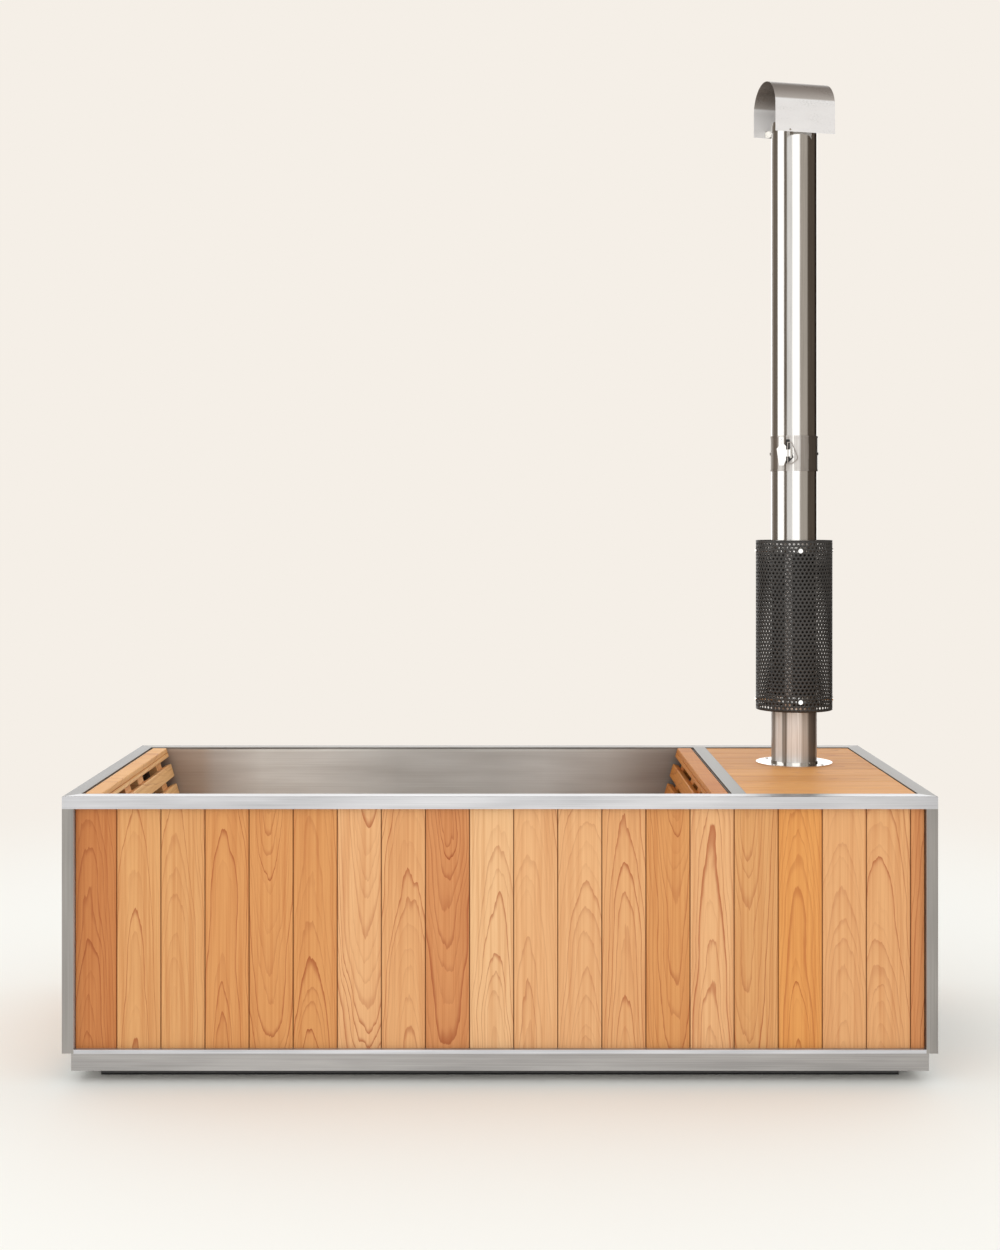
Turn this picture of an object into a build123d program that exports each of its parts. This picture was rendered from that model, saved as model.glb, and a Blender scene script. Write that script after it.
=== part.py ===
from build123d import *
import math
import os

os.makedirs("parts", exist_ok=True)

# A wood-burning hot tub: a stainless basin with an integrated stove in one long framed body.
# Millimetres, +Z up. The origin is the centre of the body's footprint on the floor.
# +X points to the stove and flue, -Y is the long side that is seen first.

# Fits, and how far a cutting shape stands past the faces that it cuts
running_clearance = 0.05
part_clearance = 0.3
cut_margin = 5.0
weld_bite = 0.5

# Body
tub_length = 2250.0
tub_width = 1000.0
rim_height = 740.0
post_size = 30.0
rail_height = 32.0
rail_round = 1.5
end_rail_width = 40.0
divider_width = 40.0
bottom_rail_height = 10.0

# Base under the body
rubber_thickness = 5.0
base_height = 30.0
base_inset = 82.0
base_tube = 60.0
plinth_height = 50.0
plinth_inset = 19.0
plinth_sheet = 1.5
plinth_foot = 115.0
plinth_head = 60.0
base_plate_thickness = 2.0
bearer_width = 40.0
bearer_gap = 16.0
bearer_end_gap = 1.0
bearer_spacing = 210.0

# Walls, from the frame's face inwards
board_recess = 15.0
board_thickness = 14.0
board_pitch = 113.6
first_board_width = 107.0
board_bevel = 2.0
board_play = 0.6
tongue_length = 5.0
tongue_thickness = 4.0
side_batten = 19.0
end_batten = 9.0
batten_height = 40.0
floor_insulation = 36.0

# Basin
liner_wall = 2.0
liner_lip_gap = 1.0
liner_drop = 6.0

# Stove bay and deck
deck_length = 445.0
bay_sheet = 1.5
bay_shelf = 16.0
deck_drop = 3.0
deck_board_thickness = 20.0
deck_board_count = 8
deck_board_play = 1.0
deck_board_bevel = 1.2
deck_batten_height = 22.0
deck_batten_width = 45.0
deck_batten_setback = 20.0
deck_side_gap = 2.0
deck_hole_play = 19.0
shield_hole_play = 10.0
shield_side_gap = 2.0
shield_end_gap = 5.0

# Stove
stove_headroom = 65.5
firebox_length = 418.0
firebox_width = 460.0
firebox_wall = 4.0
cradle_height = 38.0
cradle_width = 40.0
cradle_wall = 4.0
cradle_setback = 50.0
cradle_inset = 20.0
mouth_width = 260.0
mouth_rise = 180.0
mouth_head = 80.0
ash_width = 240.0
ash_height = 105.0
grate_rise = 116.0
grate_thickness = 12.0
grate_bar = 12.0
grate_slot = 10.0
grate_border = 20.0
baffle_drop = 64.0
baffle_thickness = 6.0
baffle_setback = 70.0
inner_play = 2.0
ledge_depth = 20.0
ledge_height = 8.0
collar_wall = 3.0
collar_lap = 60.0
jacket_gap = 28.0
jacket_wall = 3.0
jacket_rise = 80.0
jacket_front_setback = 48.0
jacket_rear_gap = 40.0
port_radius = 27.0
port_wall = 2.0
port_play = 2.0
port_low_rise = 62.0
port_high_drop = 68.0
grille_radius = 45.0
grille_thickness = 3.0
grille_slot_length = 40.0
grille_slot_width = 6.0
grille_slot_pitch = 12.0

# Stove front
fascia_margin = 31.0
fascia_thickness = 2.0
fascia_play = 3.0
seal_width = 12.0
seal_offset = 9.0
seal_groove = 4.0
door_side_lap = 60.0
door_lap = 45.0
door_thickness = 20.0
door_corner = 12.0
door_edge_round = 3.0
door_gap = 1.0
window_margin = 30.0
glass_thickness = 4.0
glass_lap = 12.0
glass_play = 1.0
retainer_thickness = 3.0
retainer_lip = 4.0

# Door hinges, handle and latch
hinge_offset = 15.0
hinge_margin = 70.0
hinge_web = 12.0
knuckle_radius = 10.0
knuckle_height = 30.0
knuckle_web = 14.0
knuckle_bite = 8.0
ear_height = 15.0
pin_radius = 5.0
pin_head = 3.0
handle_inset = 20.0
handle_hub_radius = 14.0
handle_hub_depth = 12.0
handle_length = 112.0
handle_plate_gap = 2.0
arm_thickness = 8.0
arm_height = 10.0
spindle_radius = 7.0
grip_radius = 10.0
grip_length = 82.0
grip_overhang = 6.0
grip_round = 3.0
tongue_reach = 42.0
latch_width = 14.0
latch_plate = 5.0
latch_play = 1.0
keeper_width = 18.0
keeper_claw = 4.0
keeper_gap = 3.0
keeper_lap = 10.0

# Ash drawer and its air wheel
drawer_length = 345.0
drawer_wall = 2.0
drawer_rise = 0.5
drawer_side_play = 2.0
drawer_head_play = 8.0
drawer_front = 8.0
drawer_front_width = 280.0
drawer_front_rise = 8.0
drawer_front_overlap = 15.0
drawer_lip_depth = 22.0
drawer_lip_inset = 60.0
drawer_lip_thickness = 3.0
wheel_radius = 36.0
wheel_thickness = 4.0
wheel_offset = 4.0
wheel_knob_radius = 11.0
wheel_knob_depth = 16.0
wheel_hole_radius = 8.0
wheel_hole_ring = 22.0
wheel_bolt_radius = 4.0
wheel_bolt_head = 5.0

# Flue
flue_setback = 221.5
flue_y = 140.0
flue_radius = 66.0
flue_wall = 1.0
flue_rise = 43.0
lower_section = 1000.0
upper_section = 969.0
spigot_length = 55.0
spigot_root = 15.0
spigot_weld = 10.0
flange_width = 45.0
flange_thickness = 3.0
flange_lip = 5.0
flange_screw_inset = 13.0
flange_screw_radius = 1.9
flange_screw_head = 4.5
flange_screw_dome = 2.2
guard_standoff = 45.0
guard_sheet = 1.5
guard_rise = 158.0
guard_height = 495.0
guard_fixing_margin = 30.0
guard_screw_radius = 2.45
guard_screw_length = 18.0
guard_screw_head = 6.5
guard_screw_dome = 3.0
clamp_height = 20.0
clamp_thickness = 2.0
boss_radius = 5.0

# Locking band and its toggle latch
band_height = 103.0
band_thickness = 1.6
band_gap = 4.0
band_rim = 4.0
band_rim_rise = 1.0
band_rim_inset = 3.0
latch_angle = -12.0
latch_base_length = 26.0
latch_base_height = 40.0
latch_base_rise = 1.0
pivot_offset = 6.0
pivot_rise = 7.0
pivot_pin_radius = 2.0
barrel_radius = 4.0
barrel_height = 20.0
ear_thickness = 2.7
bail_offset = 9.0
bail_rise = 1.0
bail_wire = 1.5
bail_height = 62.0
bail_tip = 10.0
bail_drop = 14.0
bail_straight = 2.0
bail_knuckle = 3.6
catch_x = 13.0
catch_thickness = 3.0
catch_plate_rise = 1.5
catch_plate_end = 25.0
catch_plate_height = 80.0
lever_top = 48.0
lever_bottom = 36.0
lever_width = 27.0
lever_tip_start = 7.0
lever_tip_end = 20.0
lever_shoulder = 20.0
lever_thickness = 2.5
lever_neck = 4.5
lever_round = 2.5
lever_hole_radius = 1.6
rib_angle = 39.0
rib_width = 6.5
rib_height = 45.0
rib_lift = 6.0
rivet_angles = [-88.0, 92.0]
rivet_radius = 4.0
rivet_rise = 2.5

# Rain cap
hood_length = 187.0
hood_width = 157.0
hood_height = 158.0
hood_lap = 41.0
hood_sheet = 1.0
hood_turn = 15.0
hood_back_lift = 12.0
strap_rise = 13.0
strap_height = 20.0
strap_sheet = 1.5
strap_x = -48.0
strap_tab = 20.0
strap_tab_rise = 1.0
cap_screw_rise = 5.5
cap_screw_radius = 1.6
cap_screw_length = 6.0
cap_screw_head = 2.8
cap_screw_dome = 1.5

# Backrests
recline = 16.3
cap_width = 43.0
cap_height = 15.0
backrest_drop = 1.0
backrest_gap = 5.0
backrest_side_gap = 10.0
slat_rise = 12.0
slat_thickness = 20.0
slat_height = 40.0
slat_pitch = 62.5
slat_round = 3.0
slat_floor_gap = 5.0
stile_width = 70.0
stile_depth = 25.0
stile_rows = [85.0, 355.0]
seat_clearance = 0.3

# Drain
drain_setback = 305.0
drain_rise = 25.0
drain_pipe_radius = 20.0
drain_pipe_wall = 2.0
elbow_wall = 4.0
elbow_floor = 3.0
elbow_drop = 4.0
waste_radius = 22.0
waste_wall = 3.0
waste_flange_radius = 36.0
waste_flange_thickness = 3.0
waste_flange_bevel = 1.5
waste_seat = 12.0
strainer_thickness = 2.0
strainer_slot = 4.0
strainer_pitch = 8.0
strainer_reaches = [9.0, 14.0, 14.0, 9.0]
valve_inset = 10.0
valve_radius = 25.0
valve_length = 55.0
valve_bevel = 2.0
valve_socket = 12.0
ball_offset = 4.0
ball_radius = 16.0
ball_bore = 11.0
port_narrowing = 1.0
stem_radius = 5.0
stem_rise = 12.0
tower_wall = 6.0
tower_rise = 6.0
spigot_radius = 13.2
outlet_length = 32.0
drain_lever_length = 95.0
drain_lever_width = 20.0
drain_lever_thickness = 4.0
drain_lever_gap = 0.5

# Levels and faces that several pieces share
half_length = tub_length / 2
half_width = tub_width / 2
side_wall = board_recess + board_thickness + side_batten
basin_half = half_width - side_wall - liner_wall
rail_inner_y = half_width - side_wall
basin_left = -half_length + end_rail_width
bay_right = half_length - end_rail_width
divider_right = bay_right - deck_length
basin_right = divider_right - divider_width
bay_left = divider_right - bay_sheet
left_rail_inner = basin_left - liner_wall
rail_underside = rim_height - rail_height
lip_bottom = rail_underside - liner_wall
plinth_top = base_height + plinth_height
ledge_top = plinth_top + bottom_rail_height
plate_top = plinth_top + base_plate_thickness
basin_floor = plate_top + floor_insulation + liner_wall
deck_top = rim_height - deck_drop
deck_underside = deck_top - deck_board_thickness
shelf_top = deck_underside - deck_batten_height
post_inner_x = half_length - post_size
post_inner_y = half_width - post_size
end_board_back = half_length - board_recess - board_thickness
side_board_back = half_width - board_recess - board_thickness
batten_levels = [
    ledge_top,
    (ledge_top + lip_bottom - batten_height) / 2,
    lip_bottom - batten_height,
]
fascia_half = firebox_width / 2 + fascia_margin
fascia_front = half_length - board_recess
firebox_front = fascia_front - fascia_thickness
firebox_rear = firebox_front - firebox_length
firebox_half = firebox_width / 2
firebox_bottom = plate_top + cradle_height
jacket_top = shelf_top - bay_sheet - stove_headroom
firebox_top = jacket_top - jacket_gap
jacket_bottom = firebox_bottom + jacket_rise
jacket_rear = firebox_rear - jacket_rear_gap
jacket_front = firebox_front - jacket_front_setback
jacket_half = firebox_half + jacket_gap
port_levels = [jacket_bottom + port_low_rise, jacket_top - port_high_drop]
mouth_half = mouth_width / 2
mouth_bottom = firebox_bottom + mouth_rise
mouth_top = firebox_top - mouth_head
ash_half = ash_width / 2
ash_top = firebox_bottom + ash_height
grate_level = firebox_bottom + grate_rise
baffle_level = firebox_top - baffle_drop
flue_x = bay_right - flue_setback
flue_bottom = firebox_top + flue_rise
flue_joint = flue_bottom + lower_section
flue_top = flue_joint + upper_section
sleeve_radius = flue_radius + part_clearance


def block(x0, x1, y0, y1, z0, z1):
    """A box between two opposite corners."""
    centre = Pos((x0 + x1) / 2, (y0 + y1) / 2, (z0 + z1) / 2)
    return centre * Box(x1 - x0, y1 - y0, z1 - z0)


def span(side, near, far):
    """Two places on one side of the middle, the lower one first."""
    return sorted((side * near, side * far))


def post(radius, z0, z1, x=0.0, y=0.0):
    """An upright cylinder."""
    return Pos(x, y, (z0 + z1) / 2) * Cylinder(radius, z1 - z0)


def tube(outer, inner, z0, z1, x=0.0, y=0.0):
    """An upright tube."""
    return post(outer, z0, z1, x, y) - post(inner, z0 - cut_margin, z1 + cut_margin, x, y)


def rod(radius, x0, x1, y, z):
    """A cylinder along X."""
    return Pos((x0 + x1) / 2, y, z) * Rot(0, 90, 0) * Cylinder(radius, x1 - x0)


def pipe(outer, inner, x0, x1, y, z):
    """A tube along X."""
    return rod(outer, x0, x1, y, z) - rod(inner, x0 - cut_margin, x1 + cut_margin, y, z)


def window_ring(x0, x1, half, z0, z1, border):
    """An upright rectangular ring in a plane across X, measured to its outer edge."""
    outer = block(x0, x1, -half, half, z0, z1)
    opening = block(
        x0 - cut_margin, x1 + cut_margin, -half + border, half - border, z0 + border, z1 - border
    )
    return outer - opening


def box_plates(x0, x1, half, z0, z1, wall):
    """The plates of a welded box, edge to edge: floor, roof, rear, front and the two sides."""
    floor = block(x0, x1, -half, half, z0, z0 + wall)
    roof = block(x0, x1, -half, half, z1 - wall, z1)
    rear = block(x0, x0 + wall, -half, half, z0 + wall, z1 - wall)
    front = block(x1 - wall, x1, -half, half, z0 + wall, z1 - wall)
    sides = []
    for side in (-1, 1):
        y0, y1 = span(side, half - wall, half)
        sides.append(block(x0 + wall, x1 - wall, y0, y1, z0 + wall, z1 - wall))
    return floor, roof, rear, front, sides


def group(shapes):
    """Separate solids kept together under one name."""
    solids = []
    for shape in shapes:
        solids.extend(shape.solids())
    return Compound(children=solids)


def on_flue(shape):
    """Moves a piece made round the Z axis onto the flue's axis."""
    return Pos(flue_x, flue_y, 0) * shape


def extrude_outline(points, z0, z1):
    """An upright prism over an outline in plan."""
    face = make_face(Polyline(*points, close=True))
    return Pos(0, 0, z0) * extrude(face, amount=z1 - z0, dir=(0, 0, 1))


def soften_top(shape, axis, radius):
    """Rounds the top edges that run along one axis."""
    return fillet(shape.edges().filter_by(axis).group_by(Axis.Z)[-1], radius)


# Base: rubber strips, a welded frame with its bearers, the plinth skirt and the base plate
def base_bars(z0, z1):
    """The bars of the base, edge to edge: two long ones, two ends and three cross-bars."""
    x_end = half_length - base_inset
    y_end = half_width - base_inset
    inner_y = y_end - base_tube
    bars = []
    for side in (-1, 1):
        y0, y1 = span(side, inner_y, y_end)
        bars.append(block(-x_end, x_end, y0, y1, z0, z1))
    last = x_end - base_tube / 2
    for x in (-last, -x_end / 2, 0, x_end / 2, last):
        bars.append(block(x - base_tube / 2, x + base_tube / 2, -inner_y, inner_y, z0, z1))
    return bars


def make_base_frame():
    bars = base_bars(rubber_thickness, base_height)
    x_end = half_length - plinth_inset - plinth_foot - bearer_end_gap
    outer_row = half_width - plinth_inset - plinth_foot - bearer_gap - bearer_width / 2
    for row in (outer_row - bearer_spacing, outer_row):
        for y in (-row, row):
            low = y - bearer_width / 2
            bars.append(block(-x_end, x_end, low, low + bearer_width, base_height, plinth_top))
    return group(bars)


def make_base_rubber():
    return group(base_bars(0, rubber_thickness))


def make_plinth_skirt():
    x_end = half_length - plinth_inset
    y_end = half_width - plinth_inset
    foot_top = base_height + plinth_sheet
    head_bottom = plinth_top - plinth_sheet
    long_sides = []
    for side in (-1, 1):
        sheet = None
        for depth, z0, z1 in (
            (plinth_sheet, base_height, plinth_top),
            (plinth_foot, base_height, foot_top),
            (plinth_head, head_bottom, plinth_top),
        ):
            y0, y1 = span(side, y_end - depth, y_end)
            fold = block(-x_end, x_end, y0, y1, z0, z1)
            sheet = fold if sheet is None else sheet + fold
        long_sides.append(sheet)
    ends = []
    for side in (-1, 1):
        sheet = None
        for depth, z0, z1 in (
            (plinth_sheet, base_height, plinth_top),
            (plinth_foot, base_height, foot_top),
            (plinth_head, head_bottom, plinth_top),
        ):
            x0, x1 = span(side, x_end - depth, x_end)
            fold = block(x0, x1, -y_end, y_end, z0, z1)
            sheet = fold if sheet is None else sheet + fold
        ends.append(sheet - long_sides)
    pipe_hole = rod(
        drain_pipe_radius + part_clearance, -x_end - cut_margin, -x_end + cut_margin, 0, drain_level
    )
    ends[0] = ends[0] - pipe_hole
    return group(long_sides + ends)


def make_base_plate():
    plate = block(-post_inner_x, post_inner_x, -post_inner_y, post_inner_y, plinth_top, plate_top)
    hole = post(waste_flange_radius, plinth_top - cut_margin, plate_top + cut_margin, drain_x, 0)
    return plate - hole


# Frame: posts, bottom rails and the mitred top rails
def make_corner_posts():
    posts = []
    for x in (-1, 1):
        for y in (-1, 1):
            x0, x1 = span(x, post_inner_x, half_length)
            y0, y1 = span(y, post_inner_y, half_width)
            posts.append(block(x0, x1, y0, y1, plinth_top, rail_underside))
    return group(posts)


def make_bottom_rails():
    rails = []
    for side in (-1, 1):
        y0, y1 = span(side, post_inner_y, half_width)
        rails.append(block(-post_inner_x, post_inner_x, y0, y1, plinth_top, ledge_top))
        x0, x1 = span(side, post_inner_x, half_length)
        rails.append(block(x0, x1, -post_inner_y, post_inner_y, plinth_top, ledge_top))
    return group(rails)


def make_long_rail(side):
    outline = [
        (-half_length, side * half_width),
        (half_length, side * half_width),
        (bay_right, side * rail_inner_y),
        (left_rail_inner, side * rail_inner_y),
    ]
    rail = extrude_outline(outline, rail_underside, rim_height)
    return soften_top(rail, Axis.X, rail_round)


def make_end_rail(outer_x, inner_x):
    outline = [
        (outer_x, -half_width),
        (outer_x, half_width),
        (inner_x, rail_inner_y),
        (inner_x, -rail_inner_y),
    ]
    rail = extrude_outline(outline, rail_underside, rim_height)
    return soften_top(rail, Axis.Y, rail_round)


def make_divider_rail():
    left = basin_right + liner_wall
    rail = block(left, divider_right, -rail_inner_y, rail_inner_y, rail_underside, rim_height)
    return soften_top(rail, Axis.Y, rail_round)


# Cladding: tongue-and-groove boards on battens
def board(left, right, first, last):
    """One upright board seen from its face, its face on y = 0 and its back at y = thickness."""
    low = left + board_play / 2
    high = right - board_play / 2
    middle = board_thickness / 2
    groove_half = tongue_thickness / 2 + board_play / 2
    tongue_half = tongue_thickness / 2
    points = [(low + board_bevel, 0), (high - board_bevel, 0), (high, board_bevel)]
    if not last:
        points += [
            (high, middle - tongue_half),
            (high + tongue_length, middle - tongue_half),
            (high + tongue_length, middle + tongue_half),
            (high, middle + tongue_half),
        ]
    points += [(high, board_thickness), (low, board_thickness)]
    if not first:
        depth = low + tongue_length + board_play / 2
        points += [
            (low, middle + groove_half),
            (depth, middle + groove_half),
            (depth, middle - groove_half),
            (low, middle - groove_half),
        ]
    points += [(low, board_bevel)]
    return extrude_outline(points, ledge_top, rail_underside)


def board_row(start, end, first_width):
    """Boards side by side from start to end, the first and the last cut to width."""
    seams = [start]
    seam = start + first_width
    while seam < end - board_pitch / 5:
        seams.append(seam)
        seam += board_pitch
    seams.append(end)
    count = len(seams) - 1
    return [board(seams[i], seams[i + 1], i == 0, i == count - 1) for i in range(count)]


def make_side_cladding(side):
    reach = post_inner_x - board_play
    rows = board_row(-reach, reach, first_board_width)
    turn = 0 if side < 0 else 180
    place = Rot(0, 0, turn) * Pos(0, -half_width + board_recess, 0)
    return group([place * item for item in rows])


def make_left_cladding():
    reach = post_inner_y - board_play
    place = Rot(0, 0, -90) * Pos(0, -half_length + board_recess, 0)
    return group([place * item for item in board_row(-reach, reach, first_board_width)])


def make_right_cladding():
    reach = post_inner_y - board_play
    edge = fascia_half + board_play
    boards = board_row(-reach, -edge, first_board_width) + board_row(edge, reach, board_pitch)
    place = Rot(0, 0, 90) * Pos(0, -half_length + board_recess, 0)
    return group([place * item for item in boards])


def long_strips(z0, z1):
    """A strip behind the front cladding and one behind the back cladding."""
    strips = []
    for side in (-1, 1):
        y0, y1 = span(side, side_board_back - side_batten, side_board_back)
        strips.append(block(basin_left, bay_right, y0, y1, z0, z1))
    return strips


def make_cladding_battens():
    battens = []
    for z in batten_levels:
        top = z + batten_height
        battens.extend(long_strips(z, top))
        left = -end_board_back
        battens.append(block(left, left + end_batten, -basin_half, basin_half, z, top))
        right = end_board_back
        for side in (-1, 1):
            y0, y1 = span(side, fascia_half, basin_half)
            battens.append(block(right - end_batten, right, y0, y1, z, top))
    return group(battens)


def make_insulation():
    panels = []
    left = -end_board_back
    for lower, upper in zip(batten_levels, batten_levels[1:]):
        z0 = lower + batten_height
        panels.extend(long_strips(z0, upper))
        panels.append(block(left, left + end_batten, -basin_half, basin_half, z0, upper))
    floor_top = basin_floor - liner_wall
    floor = block(basin_left, basin_right, -basin_half, basin_half, plate_top, floor_top)
    hole = post(waste_flange_radius, plate_top - cut_margin, floor_top + cut_margin, drain_x, 0)
    panels.append(floor - hole)
    wall_left = basin_right + liner_wall
    wall = block(wall_left, bay_left, -basin_half, basin_half, plate_top, lip_bottom)
    for z in port_levels:
        wall -= rod(port_radius + port_play, wall_left - cut_margin, bay_left + cut_margin, 0, z)
    panels.append(wall)
    return group(panels)


# Basin
def make_tub_liner():
    """The basin's sheets, welded edge to edge: the floor, four walls and the lip under the rails."""
    left = basin_left - liner_wall
    right = basin_right + liner_wall
    half = basin_half + liner_wall
    low = basin_floor - liner_wall
    top = rim_height - liner_drop
    lip_end = end_board_back - liner_lip_gap
    lip_half = side_board_back - liner_lip_gap
    floor = block(left, right, -half, half, low, basin_floor)
    waste_hole = waste_radius + part_clearance
    floor -= post(waste_hole, low - cut_margin, basin_floor + cut_margin, drain_x, 0)
    end_wall = block(basin_right, right, -half, half, basin_floor, top)
    for z in port_levels:
        hole = port_radius + part_clearance
        end_wall -= rod(hole, basin_right - cut_margin, right + cut_margin, 0, z)
    sheets = [
        floor,
        end_wall,
        block(left, basin_left, -half, half, basin_floor, top),
        block(-lip_end, left, -half, half, lip_bottom, rail_underside),
        block(right, bay_left, -half, half, lip_bottom, rail_underside),
    ]
    for side in (-1, 1):
        y0, y1 = span(side, basin_half, half)
        sheets.append(block(basin_left, basin_right, y0, y1, basin_floor, top))
        y0, y1 = span(side, half, lip_half)
        sheets.append(block(-lip_end, bay_left, y0, y1, lip_bottom, rail_underside))
    return group(sheets)


backrest_top = rim_height - backrest_drop
backrest_half = basin_half - backrest_side_gap
backrest_left_edge = basin_left + backrest_gap
backrest_front = backrest_left_edge + cap_width
backrest_slope = math.radians(recline)


def slope_point(distance, depth):
    """A point of the left backrest: down its front face, and back into it."""
    x = backrest_front + distance * math.sin(backrest_slope) - depth * math.cos(backrest_slope)
    z = backrest_top - distance * math.cos(backrest_slope) - depth * math.sin(backrest_slope)
    return x, z


def sloped_bar(start, end, near, far, y0, y1):
    """A bar of the left backrest between two distances down the slope and two depths."""
    x, z = slope_point((start + end) / 2, (near + far) / 2)
    size = Box(far - near, y1 - y0, end - start)
    return Pos(x, (y0 + y1) / 2, z) * Rot(0, -recline, 0) * size


def make_backrest_cap():
    bottom = backrest_top - cap_height
    foot = backrest_front + cap_height * math.tan(backrest_slope)
    outline = [
        (backrest_left_edge, backrest_top),
        (backrest_front, backrest_top),
        (foot, bottom),
        (backrest_left_edge, bottom),
    ]
    face = Plane.XZ * make_face(Polyline(*outline, close=True))
    cap = extrude(face, amount=backrest_half, both=True)
    return fillet(cap.edges(), slat_round)


def make_left_backrest():
    half = backrest_half
    pieces = [make_backrest_cap()]
    slope_length = (backrest_top - basin_floor) / math.cos(backrest_slope)
    floor = basin_floor + seat_clearance
    cap_bottom = backrest_top - cap_height
    zone = block(backrest_left_edge, half_length, -half, half, floor, cap_bottom)
    start = -slat_rise
    while start + slat_height < slope_length - slat_floor_gap:
        slat = sloped_bar(start, start + slat_height, 0, slat_thickness, -half, half)
        slat = fillet(slat.edges(), slat_round)
        pieces.append(slat & zone)
        start += slat_pitch
    back = slat_thickness + stile_depth
    for row in stile_rows:
        for y in (-row, row):
            low = y - stile_width / 2
            stile = sloped_bar(
                0, slope_length + stile_width, slat_thickness, back, low, low + stile_width
            )
            pieces.append(stile & zone)
    return group(pieces)


def make_right_backrest():
    middle = (basin_left + basin_right) / 2
    return mirror(make_left_backrest(), about=Plane.YZ.offset(middle))


# Stove bay and deck
bay_half = basin_half + liner_wall
bay_end = end_board_back - end_batten


def make_stove_bay_lining():
    wall = block(bay_left, divider_right, -bay_half, bay_half, plate_top, lip_bottom)
    for z in port_levels:
        hole = rod(
            port_radius + port_play, bay_left - cut_margin, divider_right + cut_margin, 0, z
        )
        wall = wall - hole
    sheets = [wall]
    for side in (-1, 1):
        y0, y1 = span(side, bay_half - bay_sheet, bay_half)
        sheet = block(divider_right, bay_end, y0, y1, plate_top, lip_bottom)
        y0, y1 = span(side, bay_half - bay_sheet - bay_shelf, bay_half)
        sheet = sheet + block(divider_right, bay_end, y0, y1, shelf_top - bay_sheet, shelf_top)
        sheets.append(sheet)
    return group(sheets)


deck_half = rail_inner_y - deck_side_gap


def make_deck_boards():
    left = divider_right + deck_side_gap
    right = bay_right - deck_side_gap
    pitch = 2 * deck_half / deck_board_count
    hole_radius = flue_radius + deck_hole_play
    low = deck_underside - cut_margin
    hole = post(hole_radius, low, deck_top + cut_margin, flue_x, flue_y)
    boards = []
    for i in range(deck_board_count):
        y0 = -deck_half + i * pitch + deck_board_play / 2
        y1 = y0 + pitch - deck_board_play
        piece = block(left, right, y0, y1, deck_underside, deck_top)
        edges = piece.edges().filter_by(Axis.X).group_by(Axis.Z)[-1]
        piece = chamfer(edges, deck_board_bevel)
        boards.append(piece - hole - flange_screw_holes(flange_screw_radius))
    return group(boards)


def make_deck_battens():
    battens = []
    last = bay_right - deck_batten_setback - deck_batten_width
    for x in (divider_right + deck_batten_setback, last):
        end = x + deck_batten_width
        battens.append(block(x, end, -deck_half, deck_half, shelf_top, deck_underside))
    return group(battens)


def make_deck_heat_shield():
    half = bay_half - bay_sheet - bay_shelf - shield_side_gap
    left = divider_right + shield_end_gap
    right = bay_right - shield_end_gap
    low = shelf_top - bay_sheet
    plate = block(left, right, -half, half, low, shelf_top)
    radius = flue_radius + shield_hole_play
    return plate - post(radius, low - cut_margin, shelf_top + cut_margin, flue_x, flue_y)


# Stove
collar_radius = flue_radius - flue_wall - part_clearance


def make_firebox():
    """Welded plates, with the front made up of strips round the mouth and the ash opening."""
    floor, roof, rear, front, sides = box_plates(
        firebox_rear, firebox_front, firebox_half, firebox_bottom, firebox_top, firebox_wall
    )
    x0 = firebox_front - firebox_wall - cut_margin
    x1 = firebox_front + cut_margin
    half = firebox_half
    strips = [
        front & block(x0, x1, -half, half, ash_top, mouth_bottom),
        front & block(x0, x1, -half, half, mouth_top, firebox_top),
    ]
    for side in (-1, 1):
        y0, y1 = span(side, ash_half, half)
        strips.append(front & block(x0, x1, y0, y1, firebox_bottom, ash_top))
        y0, y1 = span(side, mouth_half, half)
        strips.append(front & block(x0, x1, y0, y1, mouth_bottom, mouth_top))
    bore_radius = collar_radius - collar_wall
    low = firebox_top - firebox_wall - cut_margin
    roof = roof - post(bore_radius, low, firebox_top + cut_margin, flue_x, flue_y)
    plates = [floor, roof, rear] + strips + sides
    inner_half = firebox_half - firebox_wall
    for level in (grate_level, baffle_level):
        for side in (-1, 1):
            y0, y1 = span(side, inner_half - ledge_depth, inner_half)
            left = firebox_rear + firebox_wall
            right = firebox_front - firebox_wall
            plates.append(block(left, right, y0, y1, level - ledge_height, level))
    collar_top = flue_bottom + collar_lap
    plates.append(tube(collar_radius, bore_radius, firebox_top, collar_top, flue_x, flue_y))
    return group(plates)


def make_water_jacket():
    floor, roof, rear, front, sides = box_plates(
        jacket_rear, jacket_front, jacket_half, jacket_bottom, jacket_top, jacket_wall
    )
    stove = block(
        firebox_rear, firebox_front, -firebox_half, firebox_half, firebox_bottom, firebox_top
    )
    floor = floor - stove
    front = front - stove
    low = jacket_top - jacket_wall - cut_margin
    roof = roof - post(flue_radius - flue_wall, low, jacket_top + cut_margin, flue_x, flue_y)
    for z in port_levels:
        far = jacket_rear + jacket_wall + cut_margin
        rear = rear - rod(port_radius + part_clearance, jacket_rear - cut_margin, far, 0, z)
    return group([floor, roof, rear, front] + sides)


def make_circulation_pipes():
    inner = port_radius - port_wall
    end = jacket_rear + jacket_wall
    return group([pipe(port_radius, inner, basin_right, end, 0, z) for z in port_levels])


def make_port_grilles():
    grilles = []
    half = grille_slot_length / 2
    for z in port_levels:
        disc = rod(grille_radius, basin_right - grille_thickness, basin_right, 0, z)
        for i in (-1.5, -0.5, 0.5, 1.5):
            low = z + i * grille_slot_pitch - grille_slot_width / 2
            x0 = basin_right - grille_thickness - cut_margin
            x1 = basin_right + cut_margin
            disc = disc - block(x0, x1, -half, half, low, low + grille_slot_width)
        grilles.append(disc)
    return group(grilles)


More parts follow.
